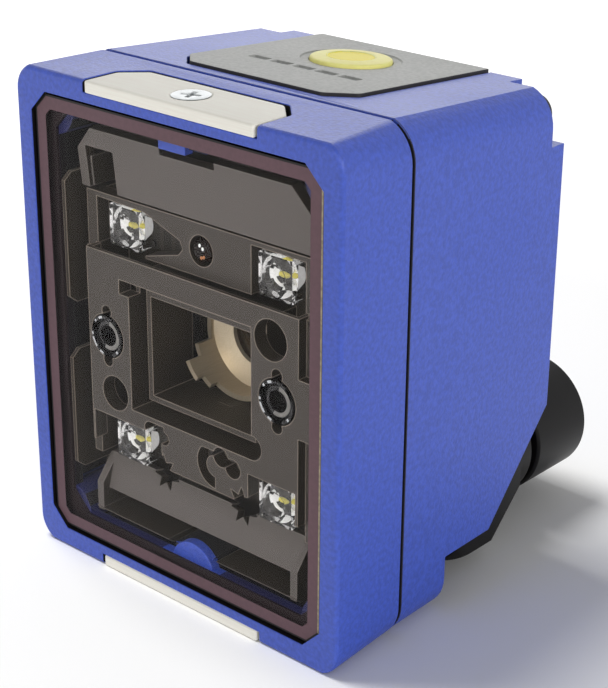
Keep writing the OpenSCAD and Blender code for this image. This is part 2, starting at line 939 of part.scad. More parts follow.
module chassis_face() {
    difference() {
        union() {
            plate(face_y, face_t)
                translate([-face_x, face_low])
                    square([2 * face_x, strip_low - face_low]);
            plate(face_y, face_t)
                translate([face_x - 0.3, -4.3])
                    square([2.7, 6.8]);
        }
        plate(face_y - cut, face_t + 2 * cut)
            face_holes();
        plate(face_y + 0.5, face_t + cut)
            translate([0.5 - face_x, strip_low - 1])
                square([2 * face_x - 1, 1 + cut]);
    }
    difference() {
        plate(strip_y, face_t)
            translate([-face_x, strip_low + 0.1])
                square([2 * face_x, strip_top - strip_low - 0.1]);
        plate(strip_y - cut, face_t + 2 * cut)
            strip_pockets();
    }
    plate(strip_y + 0.3, base_y - strip_y)
        translate([-6, strip_top - 0.7])
            square([12, 0.65]);
}

module lens_tunnel() {
    inner_w = tunnel_w - 2 * tunnel_step;
    inner_h = tunnel_h - 2 * tunnel_step;
    difference() {
        plate(face_y + face_t - eps, base_y - face_y - face_t + 2 * eps)
            translate([0, tunnel_z])
                square([tunnel_w + 1.2, tunnel_h + 1.2], center = true);
        plate(face_y + face_t - cut, base_y - face_y - face_t + cut)
            translate([0, tunnel_z])
                difference() {
                    square([tunnel_w, tunnel_h], center = true);
                    square([inner_w + 2 * tunnel_wall, inner_h + 2 * tunnel_wall], center = true);
                }
        plate(face_y + face_t - cut, base_y)
            translate([0, tunnel_z])
                square([inner_w, inner_h], center = true);
    }
}

// Side rails with cut ends, which carry the face on the base plate
module chassis_rails() {
    for (s = [-1, 1])
        translate([s * (face_x + 0.6), 0, 0])
            side_prism(1.2)
                polygon([
                    [face_y + 1.2, slope_z], [base_y + eps, slope_z], [base_y + eps, strip_top],
                    [strip_y, strip_top], [strip_y, strip_low - 0.4], [face_y + 1.2, strip_low - 0.4]
                ]);
    for (s = [-1, 1], z = [[1.6, 17.2], [-19.4, -4.2]])
        translate([s * (face_x + 2.85), 0, 0])
            side_prism(0.5)
                polygon([
                    [face_y - 0.45, z[0] + 0.9], [face_y + 0.6, z[0]], [base_y + eps, z[0]],
                    [base_y + eps, z[1]], [face_y + 0.6, z[1]], [face_y - 0.45, z[1] - 0.9]
                ]);
}

module upper_shade() {
    color(taupe)
        translate([0, 0, cz]) {
            translate([0, shade_y, strip_top + shade_gap])
                rotate([6, 0, 0])
                    difference() {
                        plate(0, shade_t)
                            polygon([
                                [-shade_x, 0], [shade_x, 0], [shade_x, shade_l - shade_cut],
                                [shade_x - 2.4, shade_l], [4, shade_l], [4, shade_l - 0.8],
                                [-4, shade_l - 0.8], [-4, shade_l], [2.4 - shade_x, shade_l],
                                [-shade_x, shade_l - shade_cut]
                            ]);
                        plate(-cut, shade_t + 2 * cut)
                            translate([1.3 - shade_x, -cut])
                                square([4.4, shade_l - 2.2 + cut]);
                    }
            for (s = [-1, 1])
                translate([s * (shade_x - 0.9), 0, 0])
                    side_prism(1.2)
                        polygon([
                            [4.2, strip_top + 0.6], [base_y, strip_top + 0.6],
                            [base_y, strip_top + shade_l - 3.1], [3.9, strip_top + shade_l - 3.1]
                        ]);
            side_prism(1.2)
                polygon([
                    [4.2, strip_top + 0.6], [base_y, strip_top + 0.6],
                    [base_y, strip_top + shade_l - 1.9], [3.8, strip_top + shade_l - 1.9]
                ]);
        }
}

module lower_shade() {
    color(taupe)
        translate([0, 0, cz]) {
            translate([0, slope_y, slope_z])
                rotate([-14.5, 0, 0])
                    difference() {
                        plate(0, 1.2)
                            translate([0.8 - tray_x, -slope_l])
                                square([2 * tray_x - 1.6, slope_l]);
                        plate(-cut, 4)
                            for (s = [-1, 1])
                                star_slot(s * 6.1, 0.2, min(star_r, slope_l / 2 - 0.1));
                    }
            for (s = [-1, 1])
                translate([s * (tray_x - 0.6), 0, 0])
                    side_prism(1)
                        polygon([
                            [slope_y + 0.3, slope_z - 0.3], [base_y, slope_z - 0.3], [base_y, tray_z + 0.4],
                            [face_y + 0.1, tray_z + 0.4], [face_y + 0.1, tray_z + 4]
                        ]);
            for (s = [-1, 1])
                translate([s * (tray_x + tray_in - 0.1) / 2, 0, 0])
                    side_prism(tray_x - tray_in - 0.1)
                        polygon([
                            [face_y - 0.1, tray_z + 0.8], [base_y, tray_z + 0.8],
                            [base_y, tray_z], [face_y + 0.8, tray_z]
                        ]);
        }
}

// Lamp board behind a lamp row, at the height z above the middle
module lamp_board(z) {
    color([0.07, 0.08, 0.07])
        plate(led_board_y, led_board_t)
            translate([0, cz + z])
                square([led_board_w, led_board_h], center = true);
}

module upper_lamp_board() { lamp_board(lamp_up); }
module lower_lamp_board() { lamp_board(-lamp_down); }

// Lamp places: x and height above the middle
LAMPS = [[-lamp_x, lamp_up], [lamp_x, lamp_up], [-lamp_x, -lamp_down], [lamp_x, -lamp_down]];

// Moulded lamp lens: square plate on a bowl, hollow above the lamp
module lamp_lens(k) {
    color([0.9, 0.92, 0.94], 0.5)
        translate([LAMPS[k][0], led_board_y, cz + LAMPS[k][1]])
            rotate([90, 0, 0])
                difference() {
                    union() {
                        translate([0, 0, 1.7])
                            linear_extrude(0.9)
                                square(lamp_side, center = true);
                        cylinder(r1 = led_side * 0.62, r2 = lamp_side / 2, h = 1.7);
                        for (sx = [-1, 1], sy = [-1, 1])
                            translate([sx * (lamp_side / 2 - 0.4), sy * (lamp_side / 2 - 0.4), 0])
                                cylinder(r = 0.4, h = 2.6, $fn = 24);
                    }
                    translate([0, 0, -cut])
                        linear_extrude(cut + led_t + 0.15)
                            square(led_side + 0.3, center = true);
                    translate([0, 0, 2.1])
                        cylinder(r1 = 0.8, r2 = 1.6, h = 0.6);
                }
}

module lamp_lens_1() { lamp_lens(0); }
module lamp_lens_2() { lamp_lens(1); }
module lamp_lens_3() { lamp_lens(2); }
module lamp_lens_4() { lamp_lens(3); }

module lamp(k) {
    color([0.95, 0.85, 0.35])
        translate([LAMPS[k][0], led_board_y, cz + LAMPS[k][1]])
            rotate([90, 0, 0])
                linear_extrude(led_t)
                    square(led_side, center = true);
}

module lamp_1() { lamp(0); }
module lamp_2() { lamp(1); }
module lamp_3() { lamp(2); }
module lamp_4() { lamp(3); }

// Aiming light: a keyed tube with a small lens in its bore
module aimer(s) {
    color(dark)
        translate([s * aimer_x, base_y, cz + aimer_z])
            rotate([90, 0, 0]) {
                difference() {
                    cylinder(d = aimer_d, h = base_y - face_y + 0.2);
                    translate([0, 0, 2])
                        cylinder(d = aimer_d - 1.3, h = base_y);
                }
                translate([0, 0, 1.9])
                    cylinder(d = aimer_d - 1.2, h = 2.2);
                for (k = [-1, 1])
                    translate([0, k * (aimer_d / 2 - 0.05), 4])
                        cylinder(r = 0.5, h = base_y - face_y - 4.2);
            }
}

module aimer_left() { aimer(-1); }
module aimer_right() { aimer(1); }

module target_sensor() {
    color([0.15, 0.1, 0.08])
        translate([target_x, led_board_y, cz + target_z])
            rotate([90, 0, 0]) {
                cylinder(r = 1.5, h = 1.6);
                translate([0, 0, 1.6])
                    rotate_extrude()
                        intersection() {
                            circle(1.4);
                            square(1.4);
                        }
            }
}

// Stepped lens barrel: threaded body, bright cone, two smaller front steps
function spoke(a) = barrel_d * [cos(a), sin(a)];
function sector(from, to) =
    concat([[0, 0]], [for (k = [0:4]) spoke(from + (to - from) * k / 4)]);

module lens_barrel() {
    color([0.62, 0.52, 0.40])
        translate([0, barrel_back, cz + lens_z])
            rotate([90, 0, 0])
                difference() {
                    rotate_extrude()
                        polygon([
                            [2.6, 0], [barrel_r, 0], [barrel_r, barrel_back - hood_y],
                            [hood_r, barrel_back - hood_y], [hood_r, barrel_back - cell_y],
                            [lens_r, barrel_back - cell_y - 0.8], [lens_r, 0.6], [2.6, 0.6]
                        ]);
                    for (c = [[5, 194, cell_y - 0.4], [194, 207, 10], [229, 242, 9], [242, 365, 10]])
                        translate([0, 0, barrel_back - c[2]])
                            linear_extrude(barrel_back)
                                polygon(sector(c[0], c[1]));
                }
}

module front_lens() {
    color([0.75, 0.8, 0.85])
        translate([0, barrel_back - 0.6, cz + lens_z])
            rotate([90, 0, 0])
                rotate_extrude()
                    intersection() {
                        polygon([[0, 0], [lens_r, 0], [lens_r, 1.5], [0, 2.4]]);
                        translate([0, -5.8])
                            circle(8.1);
                    }
}

module camera_holder() {
    color(dark)
        difference() {
            plate(holder_y, holder_l)
                translate([0, cz + lens_z])
                    round_rect(holder_w, holder_h, 2);
            y_bar(0, cz + lens_z, holder_y - cut, holder_l + 2 * cut, barrel_r + 0.05);
        }
}

module image_sensor() {
    color([0.25, 0.27, 0.3])
        plate(sensor_y - chip_d, chip_d)
            translate([0, cz + lens_z])
                square([chip_w, chip_h], center = true);
}

module sensor_board() {
    color(board_green)
        plate(sensor_y, 1.2)
            translate([0, cz + lens_z])
                round_rect(holder_w + 2, holder_h + 2, 1);
}

module main_board() {
    color(board_green)
        plate(main_y, main_t)
            translate([0, (main_z0 + main_z1) / 2])
                square([main_w, main_z1 - main_z0], center = true);
}

module processor() {
    color([0.12, 0.12, 0.13])
        plate(main_y + main_t, chip_t)
            translate([0, (main_z0 + main_z1) / 2])
                square(chip_side, center = true);
}

module heat_pad() {
    color([0.55, 0.6, 0.62])
        plate(main_y + main_t + chip_t, pad_t)
            translate([0, (main_z0 + main_z1) / 2])
                square(chip_side - 0.5, center = true);
}

// Turning connector block with its hollow spigot and the two connector necks
module connector_block() {
    color(dark)
        difference() {
            union() {
                on_seat() {
                    intersection() {
                        side_prism(2 * turret_x)
                            polygon([
                                [-turret_up, turret_z0], [turret_l, turret_z0],
                                [turret_l - turret_t, turret_z1], [turret_t - turret_up, turret_z1]
                            ]);
                        translate([0, (turret_l - turret_up) / 2, 0])
                            linear_extrude(2 * turret_z1)
                                round_rect(2 * turret_x, turret_l + turret_up, 3);
                    }
                    translate([0, 0, clip_ring_z - 0.8])
                        cylinder(r = spigot_r, h = turret_z0 - clip_ring_z + 0.8 + eps);
                }
                intersection() {
                    for (s = [-1, 1])
                        y_bar(s * conn_x, conn_z, seat_y - 4, neck_y - seat_y + 4, neck_r);
                    on_seat()
                        translate([-body_w, -body_w, turret_z0])
                            cube([2 * body_w, 2 * body_w, body_w]);
                }
            }
            on_seat() {
                translate([0, 0, -20])
                    cylinder(r = spigot_bore_r, h = 20 + turret_z0 + 2);
                translate([0, 0, clip_ring_z])
                    difference() {
                        cylinder(r = spigot_r + cut, h = clip_ring_t);
                        cylinder(r = spigot_r - 0.8, h = clip_ring_t);
                    }
                for (s = [-1, 1])
                    translate([s * block_screw_x, block_screw_y, turret_z1 - 3])
                        cylinder(d = screw_d + loose, h = 4);
            }
            for (s = [-1, 1])
                y_bar(s * conn_x, conn_z, conn_y - conn_stem_l, body_d, conn_stem_r);
        }
}

// Place of the block screws along the sloping face

module swivel_clip() {
    color(steel)
        on_seat()
            translate([0, 0, clip_ring_z])
                difference() {
                    cylinder(r = spigot_r + 1.4, h = clip_ring_t);
                    translate([0, 0, -cut])
                        cylinder(r = spigot_r - 0.8 + swivel_clear, h = clip_ring_t + 2 * cut);
                    translate([-1.6, 0, -cut])
                        cube([3.2, spigot_d, clip_ring_t + 2 * cut]);
                }
}

module swivel_seal() {
    color(dark)
        on_seat()
            translate([0, 0, seat_top - 1.2])
                difference() {
                    cylinder(r = spigot_r + 1.6, h = 1);
                    translate([0, 0, -cut])
                        cylinder(r = spigot_r + 0.4, h = 1 + 2 * cut);
                }
}

// Connector shell: a smooth sleeve on a narrower stem that sits in the block
module conn_shell(s) {
    color([0.1, 0.1, 0.11])
        translate([s * conn_x, conn_y, conn_z])
            rotate([-90, 0, 0])
                rotate_extrude()
                    polygon([
                        [0, -conn_stem_l], [conn_stem_r, -conn_stem_l], [conn_stem_r, 0],
                        [conn_d / 2 - 0.3, 0], [conn_d / 2, 0.3], [conn_d / 2, conn_l - 0.5],
                        [conn_d / 2 - 0.5, conn_l], [conn_bore_r + 0.2, conn_l], [conn_bore_r, conn_l - 0.2],
                        [conn_bore_r, conn_floor_y - conn_y], [0, conn_floor_y - conn_y]
                    ]);
}

module power_shell() { conn_shell(1); }
module network_shell() { conn_shell(-1); }

// Contact places on two rings: the outer ring takes about two thirds of them
function ring_points(n) = let (outer = ceil(n * 2 / 3), inner = n - outer)
    concat([for (k = [0:outer - 1]) 4.4 * [cos(360 * k / outer), sin(360 * k / outer)]],
        [for (k = [0:inner - 1]) 2.1 * [cos(360 * k / inner), sin(360 * k / inner)]]);

module power_insert() {
    color([0.16, 0.16, 0.17])
        difference() {
            y_bar(conn_x, conn_z, conn_floor_y, insert_l, insert_r);
            y_bar(conn_x, conn_z + insert_r, conn_floor_y + 1, insert_l, 0.8);
        }
}

module power_pins() {
    color([0.85, 0.68, 0.3])
        for (p = ring_points(pin_n))
            y_bar(conn_x + p[0], conn_z + p[1], conn_floor_y + insert_l, 3.4, 0.38);
}

// Eight network contacts in four pairs
module contact_bars(l, r) {
    for (a = [0:90:270], k = [-14, 14])
        y_bar(-conn_x + 3.8 * cos(a + k), conn_z + 3.8 * sin(a + k), conn_floor_y + insert_l - 1, l, r);
}

// Network insert: four quarters kept apart by a cross-shaped screen slot
module network_insert() {
    color([0.16, 0.16, 0.17])
        difference() {
            y_bar(-conn_x, conn_z, conn_floor_y, insert_l + 2.4, insert_r);
            translate([-conn_x, conn_floor_y + insert_l + 1.4, conn_z])
                for (a = [45, 135])
                    rotate([0, a, 0])
                        cube([2 * insert_r, 4, 1], center = true);
            contact_bars(5, 0.55);
        }
}

module network_contacts() {
    color([0.85, 0.68, 0.3])
        contact_bars(2.6, 0.42);
}

// Screw of the connector block, with its head on the sloping outer face
module block_screw(s) {
    color(steel)
        on_seat()
            translate([s * block_screw_x, block_screw_y, turret_z1])
                difference() {
                    union() {
                        translate([0, 0, -2.6])
                            cylinder(d = screw_d, h = 2.7);
                        cylinder(d = block_head_d, h = 1);
                    }
                    for (a = [0, 90])
                        rotate([0, 0, a])
                            translate([0, 0, 1])
                                cube([2.3, 0.55, 0.9], center = true);
                }
}

module block_screw_1() { block_screw(-1); }
module block_screw_2() { block_screw(1); }

framed() front_bezel();
framed() rear_body();
framed() seam_gasket();
framed() window();
framed() window_seal();
framed() top_clip();
framed() bottom_clip();
framed() top_clip_screw();
framed() bottom_clip_screw();
framed() housing_screw_1();
framed() housing_screw_2();
framed() housing_screw_3();
framed() housing_screw_4();
framed() top_panel();
framed() light_guide();
framed() push_button();
framed() panel_board();
framed() button_switch();
framed() light_chassis();
framed() upper_shade();
framed() lower_shade();
framed() upper_lamp_board();
framed() lower_lamp_board();
framed() lamp_lens_1();
framed() lamp_lens_2();
framed() lamp_lens_3();
framed() lamp_lens_4();
framed() lamp_1();
framed() lamp_2();
framed() lamp_3();
framed() lamp_4();
framed() aimer_left();
framed() aimer_right();
framed() target_sensor();
framed() lens_barrel();
framed() front_lens();
framed() camera_holder();
framed() image_sensor();
framed() sensor_board();
framed() main_board();
framed() processor();
framed() heat_pad();
framed() connector_block();
framed() swivel_clip();
framed() swivel_seal();
framed() power_shell();
framed() network_shell();
framed() power_insert();
framed() network_insert();
framed() power_pins();
framed() network_contacts();
framed() block_screw_1();
framed() block_screw_2();
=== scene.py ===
"""Looks of a fixed barcode reader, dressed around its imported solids.

Lengths are metres in the part's own frame: the window looks to -Y, +X is right seen from the front and the
foot stands on Z = 0. Each sub-assembly is a class with its sizes as fields, and each finish is a frozen
dataclass that makes one material.
"""
from __future__ import annotations

import json
import logging
import math
from dataclasses import dataclass, field
from enum import Enum, IntEnum
from typing import Callable, Iterable, Sequence

import bmesh
import bpy
from mathutils import Matrix, Vector

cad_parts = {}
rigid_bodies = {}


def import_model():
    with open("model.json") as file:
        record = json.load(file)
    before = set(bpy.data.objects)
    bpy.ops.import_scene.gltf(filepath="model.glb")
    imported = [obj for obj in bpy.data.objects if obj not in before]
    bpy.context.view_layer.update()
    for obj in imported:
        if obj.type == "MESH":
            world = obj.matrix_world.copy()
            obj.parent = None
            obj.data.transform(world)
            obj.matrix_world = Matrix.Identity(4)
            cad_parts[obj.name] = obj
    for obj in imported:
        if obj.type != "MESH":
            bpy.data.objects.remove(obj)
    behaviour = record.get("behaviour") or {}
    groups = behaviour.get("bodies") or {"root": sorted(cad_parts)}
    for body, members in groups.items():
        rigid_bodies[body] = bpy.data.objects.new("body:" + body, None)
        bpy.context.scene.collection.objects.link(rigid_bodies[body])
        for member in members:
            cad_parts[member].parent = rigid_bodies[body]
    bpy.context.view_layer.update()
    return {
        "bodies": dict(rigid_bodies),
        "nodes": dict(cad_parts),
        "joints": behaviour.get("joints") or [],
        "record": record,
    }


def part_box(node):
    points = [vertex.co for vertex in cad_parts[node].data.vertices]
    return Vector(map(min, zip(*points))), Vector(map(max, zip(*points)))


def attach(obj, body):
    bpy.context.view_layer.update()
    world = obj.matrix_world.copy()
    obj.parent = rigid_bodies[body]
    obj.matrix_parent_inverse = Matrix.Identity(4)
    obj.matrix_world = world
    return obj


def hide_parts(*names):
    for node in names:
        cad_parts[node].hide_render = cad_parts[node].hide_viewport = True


LOG = logging.getLogger("reader")
MM = 0.001
PICTURE = (608, 688)
WHITE = (1.0, 1.0, 1.0, 1.0)

# Distances that count as none: of a face from its level, and between points that are merged
NEAR, MERGED = 0.01 * MM, 0.002 * MM
# Share of a normal along an axis: square to it, mostly along it, mostly across it
SQUARE, ALONG, ACROSS = 0.9, 0.7, 0.5
# Two faces are folded onto each other where the product of their normals is below this
FOLDED = -0.9999
# How far large faces set the normals along their edges, from 1 to 100
FACE_WEIGHT = 60

Colour = tuple[float, float, float, float]


class Body(Enum):
    """Rigid bodies that pieces ride on."""

    HOUSING = "housing"
    BUTTON = "button"
    TURRET = "turret"


class Axis(Enum):
    """Direction in which a brushed finish runs."""

    ALONG_X = (0.04, 1.0, 1.0)
    ALONG_Y = (1.0, 0.04, 1.0)
    EVEN = (1.0, 1.0, 1.0)


def srgb(red: int, green: int, blue: int) -> Colour:
    """Turns a display colour into the linear colour that a shader takes.

    Args:
        red: Red from 0 to 255.
        green: Green from 0 to 255.
        blue: Blue from 0 to 255.

    Returns:
        Linear red, green, blue and an alpha of 1.
    """
    def linear(value: int) -> float:
        """Turns one channel into its linear share."""
        share = value / 255
        return share / 12.92 if share <= 0.04045 else ((share + 0.055) / 1.055) ** 2.4

    return linear(red), linear(green), linear(blue), 1.0


def deselect_all() -> None:
    """Leaves object mode with nothing selected."""
    if bpy.context.mode != "OBJECT":
        bpy.ops.object.mode_set(mode="OBJECT")
    bpy.ops.object.select_all(action="DESELECT")


def activate(obj: bpy.types.Object) -> None:
    """Makes an object the only selected one, and the active one.

    Args:
        obj: Object that the next operators act on.
    """
    deselect_all()
    obj.select_set(True)
    bpy.context.view_layer.objects.active = obj


class Shaping:
    """Edit-mode session on one mesh, with faces and edges picked by place or normal."""

    def __init__(self, obj: bpy.types.Object) -> None:
        """Takes the object whose mesh is shaped."""
        self.obj = obj

    def __enter__(self) -> "Shaping":
        """Opens edit mode with nothing selected.

        Returns:
            The session itself.
        """
        activate(self.obj)
        bpy.ops.object.mode_set(mode="EDIT")
        bpy.ops.mesh.select_all(action="DESELECT")
        return self

    def __exit__(self, *problem: object) -> None:
        """Goes back to object mode."""
        bpy.ops.object.mode_set(mode="OBJECT")

    def everything(self) -> None:
        """Selects the whole mesh."""
        bpy.ops.mesh.select_all(action="SELECT")

    def faces(self, test: Callable[[Vector, Vector], bool]) -> None:
        """Selects the faces that pass a test.

        Args:
            test: Called with a face's centre and normal.
        """
        bpy.ops.mesh.select_mode(type="FACE")
        bpy.ops.mesh.select_all(action="DESELECT")
        mesh = bmesh.from_edit_mesh(self.obj.data)
        for face in mesh.faces:
            face.select_set(test(face.calc_center_median(), face.normal))
        bmesh.update_edit_mesh(self.obj.data)

    def edges(self, test: Callable[[Vector, Vector], bool]) -> None:
        """Selects the edges that pass a test.

        Args:
            test: Called with an edge's two end points.
        """
        bpy.ops.mesh.select_mode(type="EDGE")
        bpy.ops.mesh.select_all(action="DESELECT")
        mesh = bmesh.from_edit_mesh(self.obj.data)
        for edge in mesh.edges:
            edge.select_set(test(edge.verts[0].co, edge.verts[1].co))
        bmesh.update_edit_mesh(self.obj.data)

    def folds(self) -> bool:
        """Selects the pairs of faces that lie folded onto each other.

        Returns:
            Whether there are any.
        """
        bpy.ops.mesh.select_mode(type="FACE")
        bpy.ops.mesh.select_all(action="DESELECT")
        mesh = bmesh.from_edit_mesh(self.obj.data)
        pairs = [edge.link_faces[:] for edge in mesh.edges if len(edge.link_faces) == 2]
        folded = [pair for pair in pairs if pair[0].normal.dot(pair[1].normal) < FOLDED]
        for face in (face for pair in folded for face in pair):
            face.select_set(True)
        bmesh.update_edit_mesh(self.obj.data)
        return bool(folded)


def apply_modifier(obj: bpy.types.Object, kind: str, **settings: object) -> None:
    """Adds one modifier with its settings and applies it.

    Args:
        obj: Object that is changed.
        kind: Blender's name of the modifier type.
        **settings: Values for the modifier's fields.
    """
    activate(obj)
    modifier = obj.modifiers.new(kind.title(), kind)
    for name, value in settings.items():
        setattr(modifier, name, value)
    bpy.ops.object.modifier_apply(modifier=modifier.name)


def smooth(obj: bpy.types.Object, angle: float = 40.0) -> None:
    """Shades a mesh smooth below an angle, with flat faces kept flat by their area.

    Args:
        obj: Object that is shaded.
        angle: Edges sharper than this, in degrees, stay sharp.
    """
    activate(obj)
    bpy.ops.object.shade_smooth_by_angle(angle=math.radians(angle), keep_sharp_edges=False)
    apply_modifier(obj, "WEIGHTED_NORMAL", keep_sharp=True, weight=FACE_WEIGHT)


def join(first: bpy.types.Object, *others: bpy.types.Object) -> bpy.types.Object:
    """Joins meshes into the first one.

    Args:
        first: Object that is kept.
        *others: Objects that become part of it.

    Returns:
        The kept object.
    """
    activate(first)
    for other in others:
        other.select_set(True)
    bpy.ops.object.join()
    return first


def copy_to(piece: bpy.types.Object, name: str, shift: Vector) -> bpy.types.Object:
    """Copies a finished mesh to another place, with a mesh of its own.

    Args:
        piece: Object that is copied.
        name: Name of the copy.
        shift: How far the copy's mesh is moved.

    Returns:
        The copy, with its object at the origin.
    """
    twin = bpy.data.objects.new(name, piece.data.copy())
    twin.data.name = name
    twin.data.transform(Matrix.Translation(shift))
    bpy.context.scene.collection.objects.link(twin)
    return twin


def start_block(name: str, low: Vector, high: Vector) -> bpy.types.Object:
    """Adds a cube that fills a box, as the start of a piece.

    Args:
        name: Name of the piece.
        low: Lowest corner of the box.
        high: Highest corner of the box.

    Returns:
        The block, with its object at the origin.
    """
    deselect_all()
    bpy.ops.mesh.primitive_cube_add(size=1, location=(low + high) / 2, scale=high - low)
    return named(name)


def start_rod(name: str, front: Vector, radius: float, length: float, sides: int = 48) -> bpy.types.Object:
    """Adds a rod along Y, as the start of a round piece.

    Args:
        name: Name of the piece.
        front: Centre of its front end.
        radius: Radius of the rod.
        length: Length of the rod, going back from the front end.
        sides: Number of faces around it.

    Returns:
        The rod, with its object at the origin.
    """
    deselect_all()
    bpy.ops.mesh.primitive_cylinder_add(
        vertices=sides, radius=radius, depth=length, location=front + Vector((0, length / 2, 0)),
        rotation=(math.pi / 2, 0, 0),
    )
    return named(name)


def named(name: str) -> bpy.types.Object:
    """Names the newest primitive and puts its place into its mesh.

    Args:
        name: Name of the object and of its mesh.

    Returns:
        The object, which is at the origin.
    """
    bpy.ops.object.transform_apply(location=True, rotation=True, scale=True)
    made = bpy.context.object
    made.name = made.data.name = name
    return made


def inset_front(shaping: Shaping, front: float, width: float, sink: float) -> None:
    """Insets the front end of a round piece and sinks or raises what is inside.

    Args:
        shaping: Open session on the piece.
        front: Y of the face that is inset.
        width: Width of the ring that is left.
        sink: How far the inner face goes back; negative brings it forward.
    """
    shaping.faces(lambda centre, normal: normal.y < -SQUARE and abs(centre.y - front) < NEAR)
    bpy.ops.mesh.inset(thickness=width, depth=0)
    if sink:
        bpy.ops.mesh.extrude_region_move(TRANSFORM_OT_translate={"value": (0, sink, 0)})


@dataclass(frozen=True)
class Softening:
    """How a copy of a solid gets its broken edges, and in how many rounds its folded faces are mended."""

    width: float = 0.14 * MM
    segments: int = 2
    angle: float = 34.0
    shade_angle: float = 40.0
    clamp: bool = False
    rounds: int = 4

    def copy_of(self, node: bpy.types.Object, name: str) -> bpy.types.Object:
        """Copies a solid, joins its loose triangles, rounds its sharp edges and dissolves folded faces.

        Args:
            node: Solid from the frame.
            name: Name of the new piece.

        Returns:
            The new piece, in place and not yet riding on a body.
        """
        piece = bpy.data.objects.new(name, node.data.copy())
        piece.data.name = name
        bpy.context.scene.collection.objects.link(piece)
        with Shaping(piece) as shaping:
            shaping.everything()
            bpy.ops.mesh.remove_doubles(threshold=MERGED)
        apply_modifier(
            piece, "BEVEL", width=self.width, segments=self.segments, limit_method="ANGLE",
            angle_limit=math.radians(self.angle), use_clamp_overlap=self.clamp, miter_outer="MITER_ARC",
        )
        with Shaping(piece) as shaping:
            for _ in range(self.rounds):
                if shaping.folds():
                    bpy.ops.mesh.dissolve_faces()
        smooth(piece, self.shade_angle)
        return piece


class Sheet:
    """Short-hand for adding and wiring the nodes of one tree."""

    def __init__(self, tree: bpy.types.NodeTree) -> None:
        """Takes the node tree that is filled."""
        self.tree = tree

    def add(self, kind: str, **settings: object) -> bpy.types.Node:
        """Adds a node.

        Args:
            kind: Node type without its ShaderNode prefix.
            **settings: Values for the node's own fields.

        Returns:
            The new node.
        """
        node = self.tree.nodes.new("ShaderNode" + kind)
        for name, value in settings.items():
            setattr(node, name, value)
        return node

    def wire(self, source: bpy.types.NodeSocket, target: bpy.types.NodeSocket) -> None:
        """Joins two sockets."""
        self.tree.links.new(source, target)

    def feed(self, target: bpy.types.NodeSocket, value: object) -> None:
        """Joins a socket to another one, or sets it to a plain value.

        Args:
            target: Input socket.
            value: Output socket, or the value.
        """
        if isinstance(value, bpy.types.NodeSocket):
            self.wire(value, target)
        else:
            target.default_value = value

    def math(self, operation: str, first: object, second: object = 0.0) -> bpy.types.NodeSocket:
        """Adds a Math node.

        Args:
            operation: Blender's name of the operation.
            first: Socket or number for the first input.
            second: Socket or number for the second input.

        Returns:
            The node's output socket.
        """
        node = self.add("Math", operation=operation)
        for socket, value in zip(node.inputs, (first, second)):
            self.feed(socket, value)
        return node.outputs[0]

    def mapped(
        self, value: bpy.types.NodeSocket, taken: tuple[float, float], given: tuple[float, float] = (0.0, 1.0)
    ) -> bpy.types.NodeSocket:
        """Maps one range of values onto another.

        Args:
            value: Socket of the value.
            taken: Range that is read.
            given: Range that comes out.

        Returns:
            The mapped value's socket.
        """
        node = self.add("MapRange")
        node.inputs["From Min"].default_value, node.inputs["From Max"].default_value = taken
        node.inputs["To Min"].default_value, node.inputs["To Max"].default_value = given
        self.wire(value, node.inputs["Value"])
        return node.outputs["Result"]


